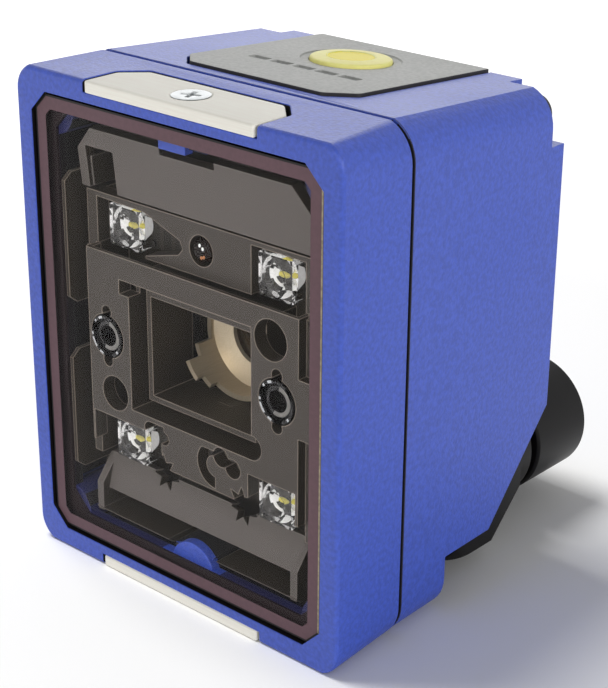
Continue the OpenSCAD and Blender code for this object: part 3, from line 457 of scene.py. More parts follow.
class Effects:
    """Shader node groups that several finishes share, each built once."""

    GRAIN = "Fine grain"
    BRUSHED = "Brushed lines"
    # Mask of edges and corners on which finishes paint a highlight
    EDGE = "Painted edge highlight"
    EDGE_SAMPLES = 4
    EDGE_STRENGTH = 5.0
    LINE_DETAIL = 3.0
    # Each output of the grain with its share of the grain's scale and its detail
    GRAIN_LAYERS = (("Height", 1.0, 2.0), ("Speck", 0.62, 3.0), ("Drift", 0.02, 2.0))
    LINE_LAYERS = (("Height", 1.0), ("Drift", 0.05))

    @classmethod
    def group(cls, name: str) -> bpy.types.NodeTree:
        """Gives a shared group, made when it is first asked for.

        Args:
            name: One of the class's group names.

        Returns:
            The group's node tree.
        """
        found = bpy.data.node_groups.get(name)
        makers = {cls.GRAIN: cls._grain, cls.BRUSHED: cls._brushed, cls.EDGE: cls._edge}
        return found or makers[name](bpy.data.node_groups.new(name, "ShaderNodeTree"))

    @staticmethod
    def _sockets(tree: bpy.types.NodeTree, inputs: Sequence[tuple[str, str]], outputs: Sequence[str]) -> None:
        """Gives a group its named inputs and its float outputs.

        Args:
            tree: The group's tree.
            inputs: Name and socket type of each input.
            outputs: Name of each output.
        """
        for label, kind in inputs:
            tree.interface.new_socket(label, in_out="INPUT", socket_type=kind)
        for label in outputs:
            tree.interface.new_socket(label, in_out="OUTPUT", socket_type="NodeSocketFloat")

    @classmethod
    def _grain(cls, tree: bpy.types.NodeTree) -> bpy.types.NodeTree:
        """Builds the grain of powder coats and eroded moulds: a height, a fine tone and a broad tone.

        Args:
            tree: The group's empty tree.

        Returns:
            The filled tree.
        """
        cls._sockets(
            tree, (("Place", "NodeSocketVector"), ("Grain", "NodeSocketFloat")), ("Height", "Speck", "Drift")
        )
        sheet = Sheet(tree)
        taken, given = tree.nodes.new("NodeGroupInput"), tree.nodes.new("NodeGroupOutput")
        for label, share, detail in cls.GRAIN_LAYERS:
            noise = sheet.add("TexNoise")
            noise.inputs["Detail"].default_value = detail
            sheet.wire(taken.outputs["Place"], noise.inputs["Vector"])
            sheet.wire(sheet.math("DIVIDE", share, taken.outputs["Grain"]), noise.inputs["Scale"])
            sheet.wire(noise.outputs["Fac"], given.inputs[label])
        return tree

    @classmethod
    def _brushed(cls, tree: bpy.types.NodeTree) -> bpy.types.NodeTree:
        """Builds the fine parallel lines of a brushed or turned metal.

        Args:
            tree: The group's empty tree.

        Returns:
            The filled tree.
        """
        cls._sockets(
            tree,
            (("Place", "NodeSocketVector"), ("Stretch", "NodeSocketVector"), ("Pitch", "NodeSocketFloat")),
            ("Height", "Drift"),
        )
        sheet = Sheet(tree)
        taken, given = tree.nodes.new("NodeGroupInput"), tree.nodes.new("NodeGroupOutput")
        squeeze = sheet.add("VectorMath", operation="MULTIPLY")
        sheet.wire(taken.outputs["Place"], squeeze.inputs[0])
        sheet.wire(taken.outputs["Stretch"], squeeze.inputs[1])
        for label, share in cls.LINE_LAYERS:
            noise = sheet.add("TexNoise")
            noise.inputs["Detail"].default_value = cls.LINE_DETAIL
            sheet.wire(squeeze.outputs[0], noise.inputs["Vector"])
            sheet.wire(sheet.math("DIVIDE", share, taken.outputs["Pitch"]), noise.inputs["Scale"])
            sheet.wire(noise.outputs["Fac"], given.inputs[label])
        return tree

    @classmethod
    def _edge(cls, tree: bpy.types.NodeTree) -> bpy.types.NodeTree:
        """Builds a mask of edges and corners within a radius, where finishes paint a highlight.

        Args:
            tree: The group's empty tree.

        Returns:
            The filled tree.
        """
        cls._sockets(tree, (("Radius", "NodeSocketFloat"),), ("Mask",))
        sheet = Sheet(tree)
        taken, given = tree.nodes.new("NodeGroupInput"), tree.nodes.new("NodeGroupOutput")
        bevel = sheet.add("Bevel", samples=cls.EDGE_SAMPLES)
        sheet.wire(taken.outputs["Radius"], bevel.inputs["Radius"])
        plain = sheet.add("NewGeometry")
        along = sheet.add("VectorMath", operation="DOT_PRODUCT")
        sheet.wire(bevel.outputs["Normal"], along.inputs[0])
        sheet.wire(plain.outputs["Normal"], along.inputs[1])
        away = sheet.math("SUBTRACT", 1.0, along.outputs["Value"])
        strong = sheet.add("Math", operation="MULTIPLY", use_clamp=True)
        sheet.wire(away, strong.inputs[0])
        strong.inputs[1].default_value = cls.EDGE_STRENGTH
        sheet.wire(strong.outputs[0], given.inputs["Mask"])
        return tree


@dataclass(frozen=True)
class Finish:
    """Base of all finishes: a name, a colour and the plain values of its shader."""

    name: str
    colour: Colour
    roughness: float = 0.5
    metallic: float = 0.0
    specular: float = 0.5

    def material(self) -> bpy.types.Material:
        """Gives the finish's material, made when it is first asked for.

        Returns:
            The material.
        """
        found = bpy.data.materials.get(self.name)
        if found:
            return found
        made = bpy.data.materials.new(self.name)
        made.use_nodes = True
        made.diffuse_color = self.colour
        sheet = Sheet(made.node_tree)
        shader = made.node_tree.nodes["Principled BSDF"]
        shader.inputs["Base Color"].default_value = self.colour
        shader.inputs["Roughness"].default_value = self.roughness
        shader.inputs["Metallic"].default_value = self.metallic
        shader.inputs["Specular IOR Level"].default_value = self.specular
        self.wire(sheet, shader)
        return made

    def wire(self, sheet: Sheet, shader: bpy.types.Node) -> None:
        """Adds the finish's own nodes; the base has none."""

    @staticmethod
    def place(sheet: Sheet) -> bpy.types.NodeSocket:
        """Gives the Object coordinates of a material."""
        return sheet.add("TexCoord").outputs["Object"]

    @staticmethod
    def shared(sheet: Sheet, effect: str, **values: object) -> bpy.types.Node:
        """Places a shared effect in a material.

        Args:
            sheet: The material's tree.
            effect: Name of the group.
            **values: Values or sockets for the group's inputs.

        Returns:
            The group node.
        """
        node = sheet.add("Group")
        node.node_tree = Effects.group(effect)
        for label, value in values.items():
            sheet.feed(node.inputs[label], value)
        return node

    def tones(
        self, sheet: Sheet, mask: bpy.types.NodeSocket, low: float, high: float,
        span: tuple[float, float] = (0.35, 0.65),
    ) -> bpy.types.NodeSocket:
        """Blends between a darker and a lighter tone of the finish by a mask.

        Args:
            sheet: The material's tree.
            mask: Socket from 0 to 1.
            low: Factor on the finish's colour where the mask is low.
            high: Factor on it where the mask is high.
            span: Where the blend starts and where it ends.

        Returns:
            The blended colour's socket.
        """
        ramp = sheet.add("ValToRGB")
        for element, position, share in zip(ramp.color_ramp.elements, span, (low, high)):
            element.position, element.color = position, self.shade(share)
        sheet.wire(mask, ramp.inputs["Fac"])
        return ramp.outputs["Color"]

    def roughen(self, sheet: Sheet, shader: bpy.types.Node, mask: bpy.types.NodeSocket, drift: float) -> None:
        """Lets the roughness drift about its value by a mask.

        Args:
            sheet: The material's tree.
            shader: Principled node whose roughness is set.
            mask: Socket from 0 to 1.
            drift: How far the roughness goes to either side.
        """
        span = (self.roughness - drift, self.roughness + drift)
        sheet.wire(sheet.mapped(mask, (0.0, 1.0), span), shader.inputs["Roughness"])

    @staticmethod
    def bump(
        sheet: Sheet, shader: bpy.types.Node, height: bpy.types.NodeSocket, depth: float, share: float
    ) -> None:
        """Raises a surface by a height.

        Args:
            sheet: The material's tree.
            shader: Principled node whose normal is set.
            height: Socket from 0 to 1.
            depth: Depth of the relief in metres.
            share: Strength of the bump.
        """
        node = sheet.add("Bump")
        node.inputs["Strength"].default_value = share
        node.inputs["Distance"].default_value = depth
        sheet.wire(height, node.inputs["Height"])
        sheet.wire(node.outputs["Normal"], shader.inputs["Normal"])

    def shade(self, share: float) -> Colour:
        """Gives the finish's colour, lightened or darkened by a factor."""
        red, green, blue, _ = self.colour
        return min(red * share, 1.0), min(green * share, 1.0), min(blue * share, 1.0), 1.0


@dataclass(frozen=True)
class Grained(Finish):
    """Powder coat or moulded plastic with a fine grain, light specks and painted highlights on its edges."""

    grain: float = 0.3 * MM
    depth: float = 0.03 * MM
    relief: float = 0.5
    spread: float = 0.12
    drift: float = 0.06
    # Painted highlight on edges: radius of the mask, and factor on the colour where it is full
    edge_radius: float = 0.12 * MM
    highlight_gain: float = 1.25

    def wire(self, sheet: Sheet, shader: bpy.types.Node) -> None:
        """Wires grain, specks, drift and the painted highlight on its edges.

        Args:
            sheet: The material's tree.
            shader: Its Principled node.
        """
        grain = self.shared(sheet, Effects.GRAIN, Place=self.place(sheet), Grain=self.grain)
        specks = self.tones(sheet, grain.outputs["Speck"], 1 - self.spread, 1 + self.spread)
        edge = self.shared(sheet, Effects.EDGE, Radius=self.edge_radius)
        # Painted highlight laid over the grain where the edge mask is full
        blend = self.over(sheet, self.body(sheet, specks), self.shade(self.highlight_gain), edge.outputs["Mask"])
        sheet.wire(blend, shader.inputs["Base Color"])
        self.roughen(sheet, shader, grain.outputs["Drift"], self.drift)
        self.bump(sheet, shader, grain.outputs["Height"], self.depth, self.relief)

    def body(self, sheet: Sheet, colour: bpy.types.NodeSocket) -> bpy.types.NodeSocket:
        """Gives the colour between the edges, here the grain's own."""
        return colour

    @staticmethod
    def over(
        sheet: Sheet, under: bpy.types.NodeSocket, top: Colour, mask: bpy.types.NodeSocket
    ) -> bpy.types.NodeSocket:
        """Lays a colour over another where a mask is 1.

        Args:
            sheet: The material's tree.
            under: Socket of the colour below.
            top: Colour above.
            mask: Socket from 0 to 1.

        Returns:
            The blended colour's socket.
        """
        mix = sheet.add("Mix", data_type="RGBA", blend_type="MIX")
        sheet.wire(mask, mix.inputs["Factor"])
        sheet.wire(under, mix.inputs["A"])
        mix.inputs["B"].default_value = top
        return mix.outputs["Result"]


@dataclass(frozen=True)
class PaintedShadeGrain(Grained):
    """Grained finish with painted shade: darker deep behind the window and on walls that face sideways."""

    # Painted shade: none in front of Y front, full from Y back; none on faces whose normal's Y is below
    # turn[0], full above turn[1]; the last field is the shade's colour
    front: float = -21.9 * MM
    back: float = -19.8 * MM
    turn: tuple[float, float] = (-0.75, -0.35)
    painted_shade_colour: Colour = (0.029, 0.022, 0.014, 1.0)

    def body(self, sheet: Sheet, colour: bpy.types.NodeSocket) -> bpy.types.NodeSocket:
        """Paints shade into the grain by depth and by the way it faces.

        Args:
            sheet: The material's tree.
            colour: Socket of the grain's colour.

        Returns:
            The colour's socket, with the painted shade.
        """
        where = sheet.add("TexCoord")
        # Painted shade by depth and on faces that turn sideways, whichever is stronger
        depth_shade = self.rise(sheet, where.outputs["Object"], (self.front, self.back))
        side = self.rise(sheet, where.outputs["Normal"], self.turn)
        return self.over(sheet, colour, self.painted_shade_colour, sheet.math("MAXIMUM", depth_shade, side))

    @staticmethod
    def rise(sheet: Sheet, vector: bpy.types.NodeSocket, span: tuple[float, float]) -> bpy.types.NodeSocket:
        """Lets a mask rise from 0 to 1 along a vector's Y.

        Args:
            sheet: The material's tree.
            vector: Socket of the vector.
            span: Y up to which the mask is 0, and Y from which it is 1.

        Returns:
            The mask's socket.
        """
        split = sheet.add("SeparateXYZ")
        sheet.wire(vector, split.inputs["Vector"])
        return sheet.mapped(split.outputs["Y"], span)


@dataclass(frozen=True)
class Brushed(Finish):
    """Metal with fine lines along one direction."""

    metallic: float = 1.0
    pitch: float = 0.12 * MM
    run: Axis = Axis.EVEN
    depth: float = 0.01 * MM
    relief: float = 0.25
    spread: float = 0.06
    drift: float = 0.05

    def wire(self, sheet: Sheet, shader: bpy.types.Node) -> None:
        """Wires the lines into colour, roughness and relief.

        Args:
            sheet: The material's tree.
            shader: Its Principled node.
        """
        lines = self.shared(
            sheet, Effects.BRUSHED, Place=self.place(sheet), Stretch=self.run.value, Pitch=self.pitch
        )
        tone = self.tones(sheet, lines.outputs["Height"], 1 - self.spread, 1 + self.spread)
        sheet.wire(tone, shader.inputs["Base Color"])
        self.roughen(sheet, shader, lines.outputs["Drift"], self.drift)
        self.bump(sheet, shader, lines.outputs["Height"], self.depth, self.relief)


@dataclass(frozen=True)
class GlowingHighlight(Finish):
    """Painted highlight that glows a little, though it is no lamp."""

    glow_strength: float = 0.35
    grain: float = 0.2 * MM
    dim: float = 0.9

    def wire(self, sheet: Sheet, shader: bpy.types.Node) -> None:
        """Wires a faint unevenness and sets the glow of the painted highlight.

        Args:
            sheet: The material's tree.
            shader: Its Principled node.
        """
        grain = self.shared(sheet, Effects.GRAIN, Place=self.place(sheet), Grain=self.grain)
        tone = self.tones(sheet, grain.outputs["Speck"], self.dim, 1.0)
        sheet.wire(tone, shader.inputs["Base Color"])
        sheet.wire(tone, shader.inputs["Emission Color"])
        shader.inputs["Emission Strength"].default_value = self.glow_strength


@dataclass(frozen=True)
class Clear(Finish):
    """Clear glass or plastic that lets lamps through."""

    roughness: float = 0.02
    ior: float = 1.45

    def wire(self, sheet: Sheet, shader: bpy.types.Node) -> None:
        """Sets the glass and lets shadow rays pass through it.

        Args:
            sheet: The material's tree.
            shader: Its Principled node.
        """
        shader.inputs["Transmission Weight"].default_value = 1.0
        shader.inputs["IOR"].default_value = self.ior
        path = sheet.add("LightPath")
        through = sheet.add("BsdfTransparent")
        through.inputs["Color"].default_value = self.colour
        mix = sheet.add("MixShader")
        output = sheet.tree.nodes["Material Output"]
        sheet.wire(path.outputs["Is Shadow Ray"], mix.inputs["Fac"])
        sheet.wire(shader.outputs["BSDF"], mix.inputs[1])
        sheet.wire(through.outputs["BSDF"], mix.inputs[2])
        sheet.wire(mix.outputs["Shader"], output.inputs["Surface"])


@dataclass(frozen=True)
class Circuit(Finish):
    """Solder resist over copper tracks."""

    track: float = 0.9 * MM
    tracks_across: float = 4.0
    track_width: float = 0.08
    patch_tone: float = 0.85
    track_tone: float = 1.7
    depth: float = 0.02 * MM
    relief: float = 0.4

    def wire(self, sheet: Sheet, shader: bpy.types.Node) -> None:
        """Wires a net of slightly paler tracks.

        Args:
            sheet: The material's tree.
            shader: Its Principled node.
        """
        net = sheet.add("TexBrick")
        net.inputs["Scale"].default_value = 1 / (self.tracks_across * self.track)
        net.inputs["Mortar Size"].default_value = self.track_width
        net.inputs["Color1"].default_value = self.colour
        net.inputs["Color2"].default_value = self.shade(self.patch_tone)
        net.inputs["Mortar"].default_value = self.shade(self.track_tone)
        sheet.wire(self.place(sheet), net.inputs["Vector"])
        sheet.wire(net.outputs["Color"], shader.inputs["Base Color"])
        self.bump(sheet, shader, net.outputs["Fac"], self.depth, self.relief)


class Finishes:
    """All finishes of the reader."""

    PAINT = Grained(
        "Blue powder coat", srgb(60, 86, 188), roughness=0.44, grain=0.32 * MM, depth=0.05 * MM, relief=1.0,
        spread=0.13, highlight_gain=1.3,
    )
    CLIP = Brushed(
        "Champagne coat", srgb(255, 250, 239), roughness=0.52, metallic=0.0, specular=0.3, run=Axis.ALONG_X,
        pitch=0.16 * MM, spread=0.03, relief=0.2,
    )
    STEEL = Brushed("Bright steel", srgb(205, 208, 210), roughness=0.22)
    BLACK_STEEL = Brushed("Black oxide steel", srgb(38, 38, 40), roughness=0.4, metallic=0.7)
    GOLD = Brushed("Gold plate", srgb(226, 190, 110), roughness=0.25)
    BRONZE = Brushed("Lens barrel", srgb(204, 190, 164), roughness=0.32, metallic=0.72, run=Axis.ALONG_Y)
    PANEL = Grained(
        "Panel grey", srgb(162, 163, 160), roughness=0.55, grain=0.28 * MM, spread=0.12, highlight_gain=1.1
    )
    BUTTON = Grained(
        "Button yellow", srgb(255, 246, 150), roughness=0.5, specular=0.4, grain=0.5 * MM, spread=0.03,
        relief=0.2,
    )
    # One taupe in two copies: the chassis copy is darker as painted shade, the shades' copy lighter as
    # painted light; both paint highlights on their edges
    SHADED_TAUPE = PaintedShadeGrain(
        "Chassis taupe in painted shade", srgb(67, 61, 55), roughness=0.5, grain=0.2 * MM, spread=0.06, relief=0.2,
        highlight_gain=8.0, edge_radius=0.2 * MM,
    )
    LIT_TAUPE = PaintedShadeGrain(
        "Shade taupe in painted light", srgb(94, 88, 84), roughness=0.5, grain=0.2 * MM, spread=0.05, relief=0.2,
        highlight_gain=2.4, edge_radius=0.2 * MM,
    )
    BLACK = Grained(
        "Black plastic", srgb(18, 17, 18), roughness=0.42, specular=0.18, grain=0.25 * MM, spread=0.1,
        relief=0.25,
    )
    SHELL = Grained(
        "Connector black", srgb(15, 14, 15), roughness=0.38, specular=0.15, grain=0.2 * MM, spread=0.08,
        relief=0.15,
    )
    GLOSS = Grained(
        "Aimer black", srgb(20, 19, 20), roughness=0.16, grain=0.2 * MM, spread=0.05, relief=0.05
    )
    AMBER = Grained(
        "Sensor brown", srgb(26, 16, 11), roughness=0.1, specular=0.2, grain=0.3 * MM, spread=0.05,
        relief=0.03,
    )
    AMBER_GLINT = Grained(
        "Sensor amber glint", srgb(190, 124, 74), roughness=0.3, grain=0.3 * MM, spread=0.1, relief=0.1
    )
    # Glowing white used as painted highlight in lamps and on the target sensor
    HIGHLIGHT_GLOW = GlowingHighlight("Glowing painted highlight", srgb(250, 250, 248), roughness=0.2)
    # Dark grey of bare casting; on the top panel's flanks it is painted shadow
    BARE = Grained("Bare casting and painted shadow", srgb(44, 42, 44), roughness=0.6, grain=0.3 * MM, specular=0.3)
    RUBBER = Grained("Seal rubber", srgb(24, 23, 24), roughness=0.75, grain=0.25 * MM, spread=0.1)
    BORDER = Grained(
        "Window border", srgb(92, 64, 72), roughness=0.6, grain=0.3 * MM, spread=0.06, relief=0.1
    )
    EDGE_BLACK = Grained("Pane edge black", srgb(16, 14, 15), roughness=0.5, specular=0.25, spread=0.1)
    PACKAGE = Grained(
        "Lamp package", srgb(44, 41, 37), roughness=0.4, grain=0.2 * MM, spread=0.06, relief=0.1
    )
    GREY_RING = Grained(
        "Aimer grey", srgb(128, 126, 122), roughness=0.4, grain=0.2 * MM, spread=0.08, relief=0.1
    )
    LIP = Grained("Pane lip", srgb(150, 138, 112), roughness=0.5, grain=0.3 * MM, spread=0.3, relief=0.2)
    # Darker blue painted as shade on the bezel's inside
    SHADED_PAINT = Grained("Blue coat in painted shade", srgb(40, 43, 92), roughness=0.5, grain=0.3 * MM, spread=0.12)
    BUTTON_DEEP = Grained(
        "Button dish", srgb(255, 236, 40), roughness=0.5, specular=0.35, grain=0.5 * MM, spread=0.03,
        relief=0.2,
    )
    SCREW = Brushed("Satin steel", srgb(168, 171, 172), roughness=0.42)
    SEAL = Grained("Window seal", srgb(46, 35, 38), roughness=0.7, grain=0.3 * MM, spread=0.08)
    GLASS = Clear("Window glass", (0.9, 0.89, 0.89, 1.0), ior=1.12)
    OPTIC = Clear("Clear optic", (0.98, 0.98, 0.98, 1.0), ior=1.4)
    LENS = Clear("Camera lens", (0.3, 0.2, 0.14, 1.0), ior=1.5)
    GUIDE = Grained(
        "Light guide", srgb(168, 170, 170), roughness=0.25, grain=0.3 * MM, spread=0.05, relief=0.1
    )
    BOARD = Circuit("Circuit board", srgb(24, 62, 40), roughness=0.45)
    LAMP_BOARD = Circuit("Dark lamp board", srgb(46, 42, 36), roughness=0.5)
    PHOSPHOR = Grained("Lamp phosphor", srgb(252, 238, 120), roughness=0.5, grain=0.15 * MM, spread=0.06)


def paint(
    piece: bpy.types.Object, finishes: Iterable[Finish], choose: Callable[[Vector, Vector], int]
) -> None:
    """Adds finishes to a piece and chooses one of all its finishes for each face.

    Args:
        piece: Piece that is painted.
        finishes: Finishes that come after those that it has.
        choose: Called with a face's centre and normal, gives the place of its finish in the list.
    """
    for finish in finishes:
        piece.data.materials.append(finish.material())
    for face in piece.data.polygons:
        face.material_index = int(choose(face.center, face.normal))


@dataclass
class Workshop:
    """The loaded frame, and how pieces are added to it."""

    frame: dict
    made: list[str] = field(default_factory=list)

    def node(self, name: str) -> bpy.types.Object:
        """Gives a solid of the frame."""
        return self.frame["nodes"][name]

    def dress(self, name: str, finish: Finish) -> None:
        """Gives a solid of the frame its material.

        Args:
            name: Name of the solid.
            finish: Its finish.
        """
        obj = self.node(name)
        obj.data.materials.clear()
        obj.data.materials.append(finish.material())
        LOG.info("dressed %s in %s", name, finish.name)

    def adopt(
        self, piece: bpy.types.Object, body: Body, finish: Finish | None,
        replaced: Iterable[str] = (),
    ) -> bpy.types.Object:
        """Finishes a new piece: material, body and the solids that it stands for.

        Args:
            piece: The modelled mesh, in place.
            body: Body that it rides on.
            finish: Its finish, or None where its faces have materials already.
            replaced: Names of the solids that it stands for.

        Returns:
            The same piece.
        """
        if finish:
            piece.data.materials.clear()
            piece.data.materials.append(finish.material())
        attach(piece, body.value)
        names = list(replaced)
        if names:
            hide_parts(*names)
        self.made.append(piece.name)
        LOG.info("piece %s on %s", piece.name, body.value)
        return piece

    def soften(
        self, node: str, body: Body, finish: Finish, softening: Softening = Softening()
    ) -> bpy.types.Object:
        """Stands a soft-edged copy in for a solid.

        Args:
            node: Name of the solid.
            body: Body that it rides on.
            finish: Finish of the copy.
            softening: How its edges are broken.

        Returns:
            The new piece.
        """
        piece = softening.copy_of(self.node(node), node + "_soft")
        return self.adopt(piece, body, finish, [node])


class Coat(IntEnum):
    """How a face of a shell is coated, as the place of the finish in the shell's list."""

    PAINT = 0
    BARE = 1
    MOUTH = 2
    DEPTH = 3


@dataclass
class Housing:
    """Bezel, rear body, their seam and their screws."""

    screws: int = 4
    edge: Softening = Softening(width=0.1 * MM, shade_angle=16.0)
    screw_edge: Softening = Softening(angle=50.0)
    middle_z: float = 29.25 * MM
    inward: float = 5.0 * MM
    inner_x: float = 17.0 * MM
    inner_z: float = 26.0 * MM
    inner_y: float = -24.0 * MM
    lid_z: float = 27.75 * MM
    pocket_height: float = 1.3 * MM
    pocket_x: float = 13.6 * MM
    pocket_y: float = -18.0 * MM
    mouth_y: float = -26.2 * MM
    boss_y: float = -23.3 * MM
    boss_step: float = 0.8 * MM
    tongue_x: float = 4.6 * MM
    hollow: tuple[float, float] = (20.6 * MM, 27.2 * MM)
    seam: tuple[float, float] = (-16.0 * MM, -15.3 * MM)

    def coat_at(self, centre: Vector, normal: Vector) -> Coat:
        """Tells how a face of a shell is coated.

        Args:
            centre: The face's centre.
            normal: Its normal.

        Returns:
            Paint, bare casting, the black mouth around the pane with black also painted as shadow on the clip
            pockets' walls, or painted shade on the blue in its depth.
        """
        high = centre.z - self.middle_z
        inward = centre.x * normal.x + high * normal.z < -self.inward
        pocket = abs(normal.z) < ACROSS and self.lid_z < abs(high) < self.lid_z + self.pocket_height
        if inward and self.mouth_y < centre.y < self.inner_y:
            return Coat.MOUTH
        # The clip pockets' walls get the black as painted shadow around the clips
        if pocket and abs(centre.x) < self.pocket_x and self.mouth_y < centre.y < self.pocket_y:
            return Coat.MOUTH
        side = abs(centre.x) > self.inner_x and abs(normal.x) > ALONG
        lid = abs(high) > self.inner_z and abs(normal.z) > ALONG
        joint = self.seam[0] < centre.y < self.seam[1] and abs(normal.y) > SQUARE and abs(high) < self.lid_z
        if joint or (inward and (side or lid) and centre.y > self.inner_y):
            return Coat.BARE
        inside = abs(centre.x) < self.hollow[0] and abs(high) < self.hollow[1]
        if not inside or not self.inner_y < centre.y < self.seam[0]:
            return Coat.PAINT
        # Deep inside, the blue beside the tongue is darkened as painted shade
        if abs(centre.x) > self.tongue_x:
            return Coat.DEPTH
        boss = normal.y < -SQUARE or centre.y > self.boss_y + self.boss_step
        return Coat.BARE if boss and centre.y > self.boss_y else Coat.PAINT

    def coat(self, shell: bpy.types.Object) -> None:
        """Coats a shell inside and in its seam.

        Args:
            shell: Bezel or rear body.
        """
        with Shaping(shell) as shaping:
            for side in (-1, 1):
                shaping.everything()
                bpy.ops.mesh.bisect(plane_co=(side * self.tongue_x, 0, 0), plane_no=(1, 0, 0))
        paint(shell, (Finishes.BARE, Finishes.EDGE_BLACK, Finishes.SHADED_PAINT), self.coat_at)

    def build(self, shop: Workshop) -> None:
        """Builds the soft-edged shells and dresses what is between them.

        Args:
            shop: Where the pieces go.
        """
        for node in ("front_bezel", "rear_body"):
            shell = shop.soften(node, Body.HOUSING, Finishes.PAINT, self.edge)
            self.coat(shell)
        shop.dress("seam_gasket", Finishes.RUBBER)
        for k in range(1, self.screws + 1):
            node = f"housing_screw_{k}"
            shop.soften(node, Body.HOUSING, Finishes.BLACK_STEEL, self.screw_edge)


@dataclass
class Trim:
    """Clip plates on the bezel and their screws."""

    edge: Softening = Softening(width=0.26 * MM, segments=3, angle=30)
    screw_edge: Softening = Softening(width=0.06 * MM)

    def build(self, shop: Workshop) -> None:
        """Builds both clips and their screws.

        Args:
            shop: Where the pieces go.
        """
        for side in ("top", "bottom"):
            shop.soften(f"{side}_clip", Body.HOUSING, Finishes.CLIP, self.edge)
            shop.soften(f"{side}_clip_screw", Body.HOUSING, Finishes.SCREW, self.screw_edge)


@dataclass
class TopPanel:
    """Panel with light slots and the push button."""

    edge: Softening = Softening(width=0.1 * MM)
    button_edge: Softening = Softening(width=0.12 * MM, segments=3, angle=20)
    dish: float = 2.75 * MM
    flank: float = 2.9 * MM
    flank_lean: float = 0.6

    def build(self, shop: Workshop) -> None:
        """Builds the panel and button and dresses what lies below.

        Args:
            shop: Where the pieces go.
        """
        panel = shop.soften("top_panel", Body.HOUSING, Finishes.PANEL, self.edge)
        low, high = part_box("top_panel")
        # The panel's flanks get the dark grey as painted shadow along its outline
        paint(panel, (Finishes.BARE,), lambda spot, normal: self.on_flank(spot, normal, low, high))
        self.tint(shop.soften("push_button", Body.BUTTON, Finishes.BUTTON, self.button_edge))
        shop.dress("light_guide", Finishes.GUIDE)
        shop.dress("panel_board", Finishes.BOARD)
        shop.dress("button_switch", Finishes.BLACK)

    def on_flank(self, spot: Vector, normal: Vector, low: Vector, high: Vector) -> bool:
        """Tells whether a face stands upright close to the panel's outline.

        Args:
            spot: The face's centre.
            normal: The face's normal.
            low: Lowest corner of the panel.
            high: Highest corner of the panel.

        Returns:
            Whether it does.
        """
        inset = min(spot.x - low.x, high.x - spot.x, spot.y - low.y, high.y - spot.y)
        return abs(normal.z) < self.flank_lean and inset < self.flank

    def tint(self, button: bpy.types.Object) -> None:
        """Gives the button's dish its deeper yellow.

        Args:
            button: The soft-edged button.
        """
        low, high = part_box("push_button")
        middle = (low + high) / 2
        paint(
            button, (Finishes.BUTTON_DEEP,),
            lambda spot, normal: (spot - middle).xy.length < self.dish and normal.z > SQUARE,
        )


class Print(IntEnum):
    """What covers a face of the pane, as the place of the finish in the pane's list."""

    CLEAR = 0
    RIM = 1
    BORDER = 2
    BACK = 3
    LIP = 4


@dataclass
class FrontWindow:
    """Window pane with its black rim and its printed border, and the sealing frame."""

    corner: float = 2.4 * MM
    rim: float = 0.22 * MM
    front_border: float = 1.4 * MM
    border: float = 1.75 * MM
    centre_reach: float = 1.0 * MM

    def build(self, shop: Workshop) -> None:
        """Builds the pane and dresses the seal behind it.

        Args:
            shop: Where the pieces go.
        """
        low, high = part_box("window")
        middle, size = (low + high) / 2, high - low
        pane = start_block("window_pane", low, high)
        with Shaping(pane) as shaping:
            shaping.edges(lambda a, b: abs(a.y - b.y) > size.y / 2)
            bpy.ops.mesh.bevel(offset=self.corner, offset_type="WIDTH", segments=1, affect="EDGES")
            for side, width in ((-1, self.rim), (-1, self.front_border), (1, self.border)):
                shaping.faces(
                    lambda spot, normal: normal.y * side > SQUARE and self.in_centre(spot - middle)
                )
                bpy.ops.mesh.inset(thickness=width, depth=0)
        paint(
            pane, (Finishes.GLASS, Finishes.EDGE_BLACK, Finishes.BORDER, Finishes.SEAL, Finishes.LIP),
            lambda spot, normal: self.print_on(spot - middle, normal, size),
        )
        shop.adopt(pane, Body.HOUSING, None, ["window"])
        shop.dress("window_seal", Finishes.SEAL)

    def in_centre(self, spot: Vector) -> bool:
        """Tells whether a face's centre lies at the pane's middle."""
        return spot.xz.length < self.centre_reach

    def print_on(self, spot: Vector, normal: Vector, size: Vector) -> Print:
        """Tells what covers a face of the pane.

        Args:
            spot: The face's centre, from the pane's middle.
            normal: The face's normal.
            size: Size of the pane.

        Returns:
            Clear glass, the black rim, the border, the border's back, or the lip at the right.
        """
        if self.in_centre(spot):
            return Print.CLEAR
        if normal.y > SQUARE:
            return Print.BACK
        corner = size.x / 2 + size.z / 2 - self.corner / math.sqrt(2)
        over = max(abs(spot.x) - size.x / 2, abs(spot.z) - size.z / 2, abs(spot.x) + abs(spot.z) - corner)
        if normal.y < -SQUARE and over < -self.rim:
            return Print.BORDER
        return Print.LIP if normal.y < -SQUARE and spot.x > size.x / 2 - self.rim else Print.RIM


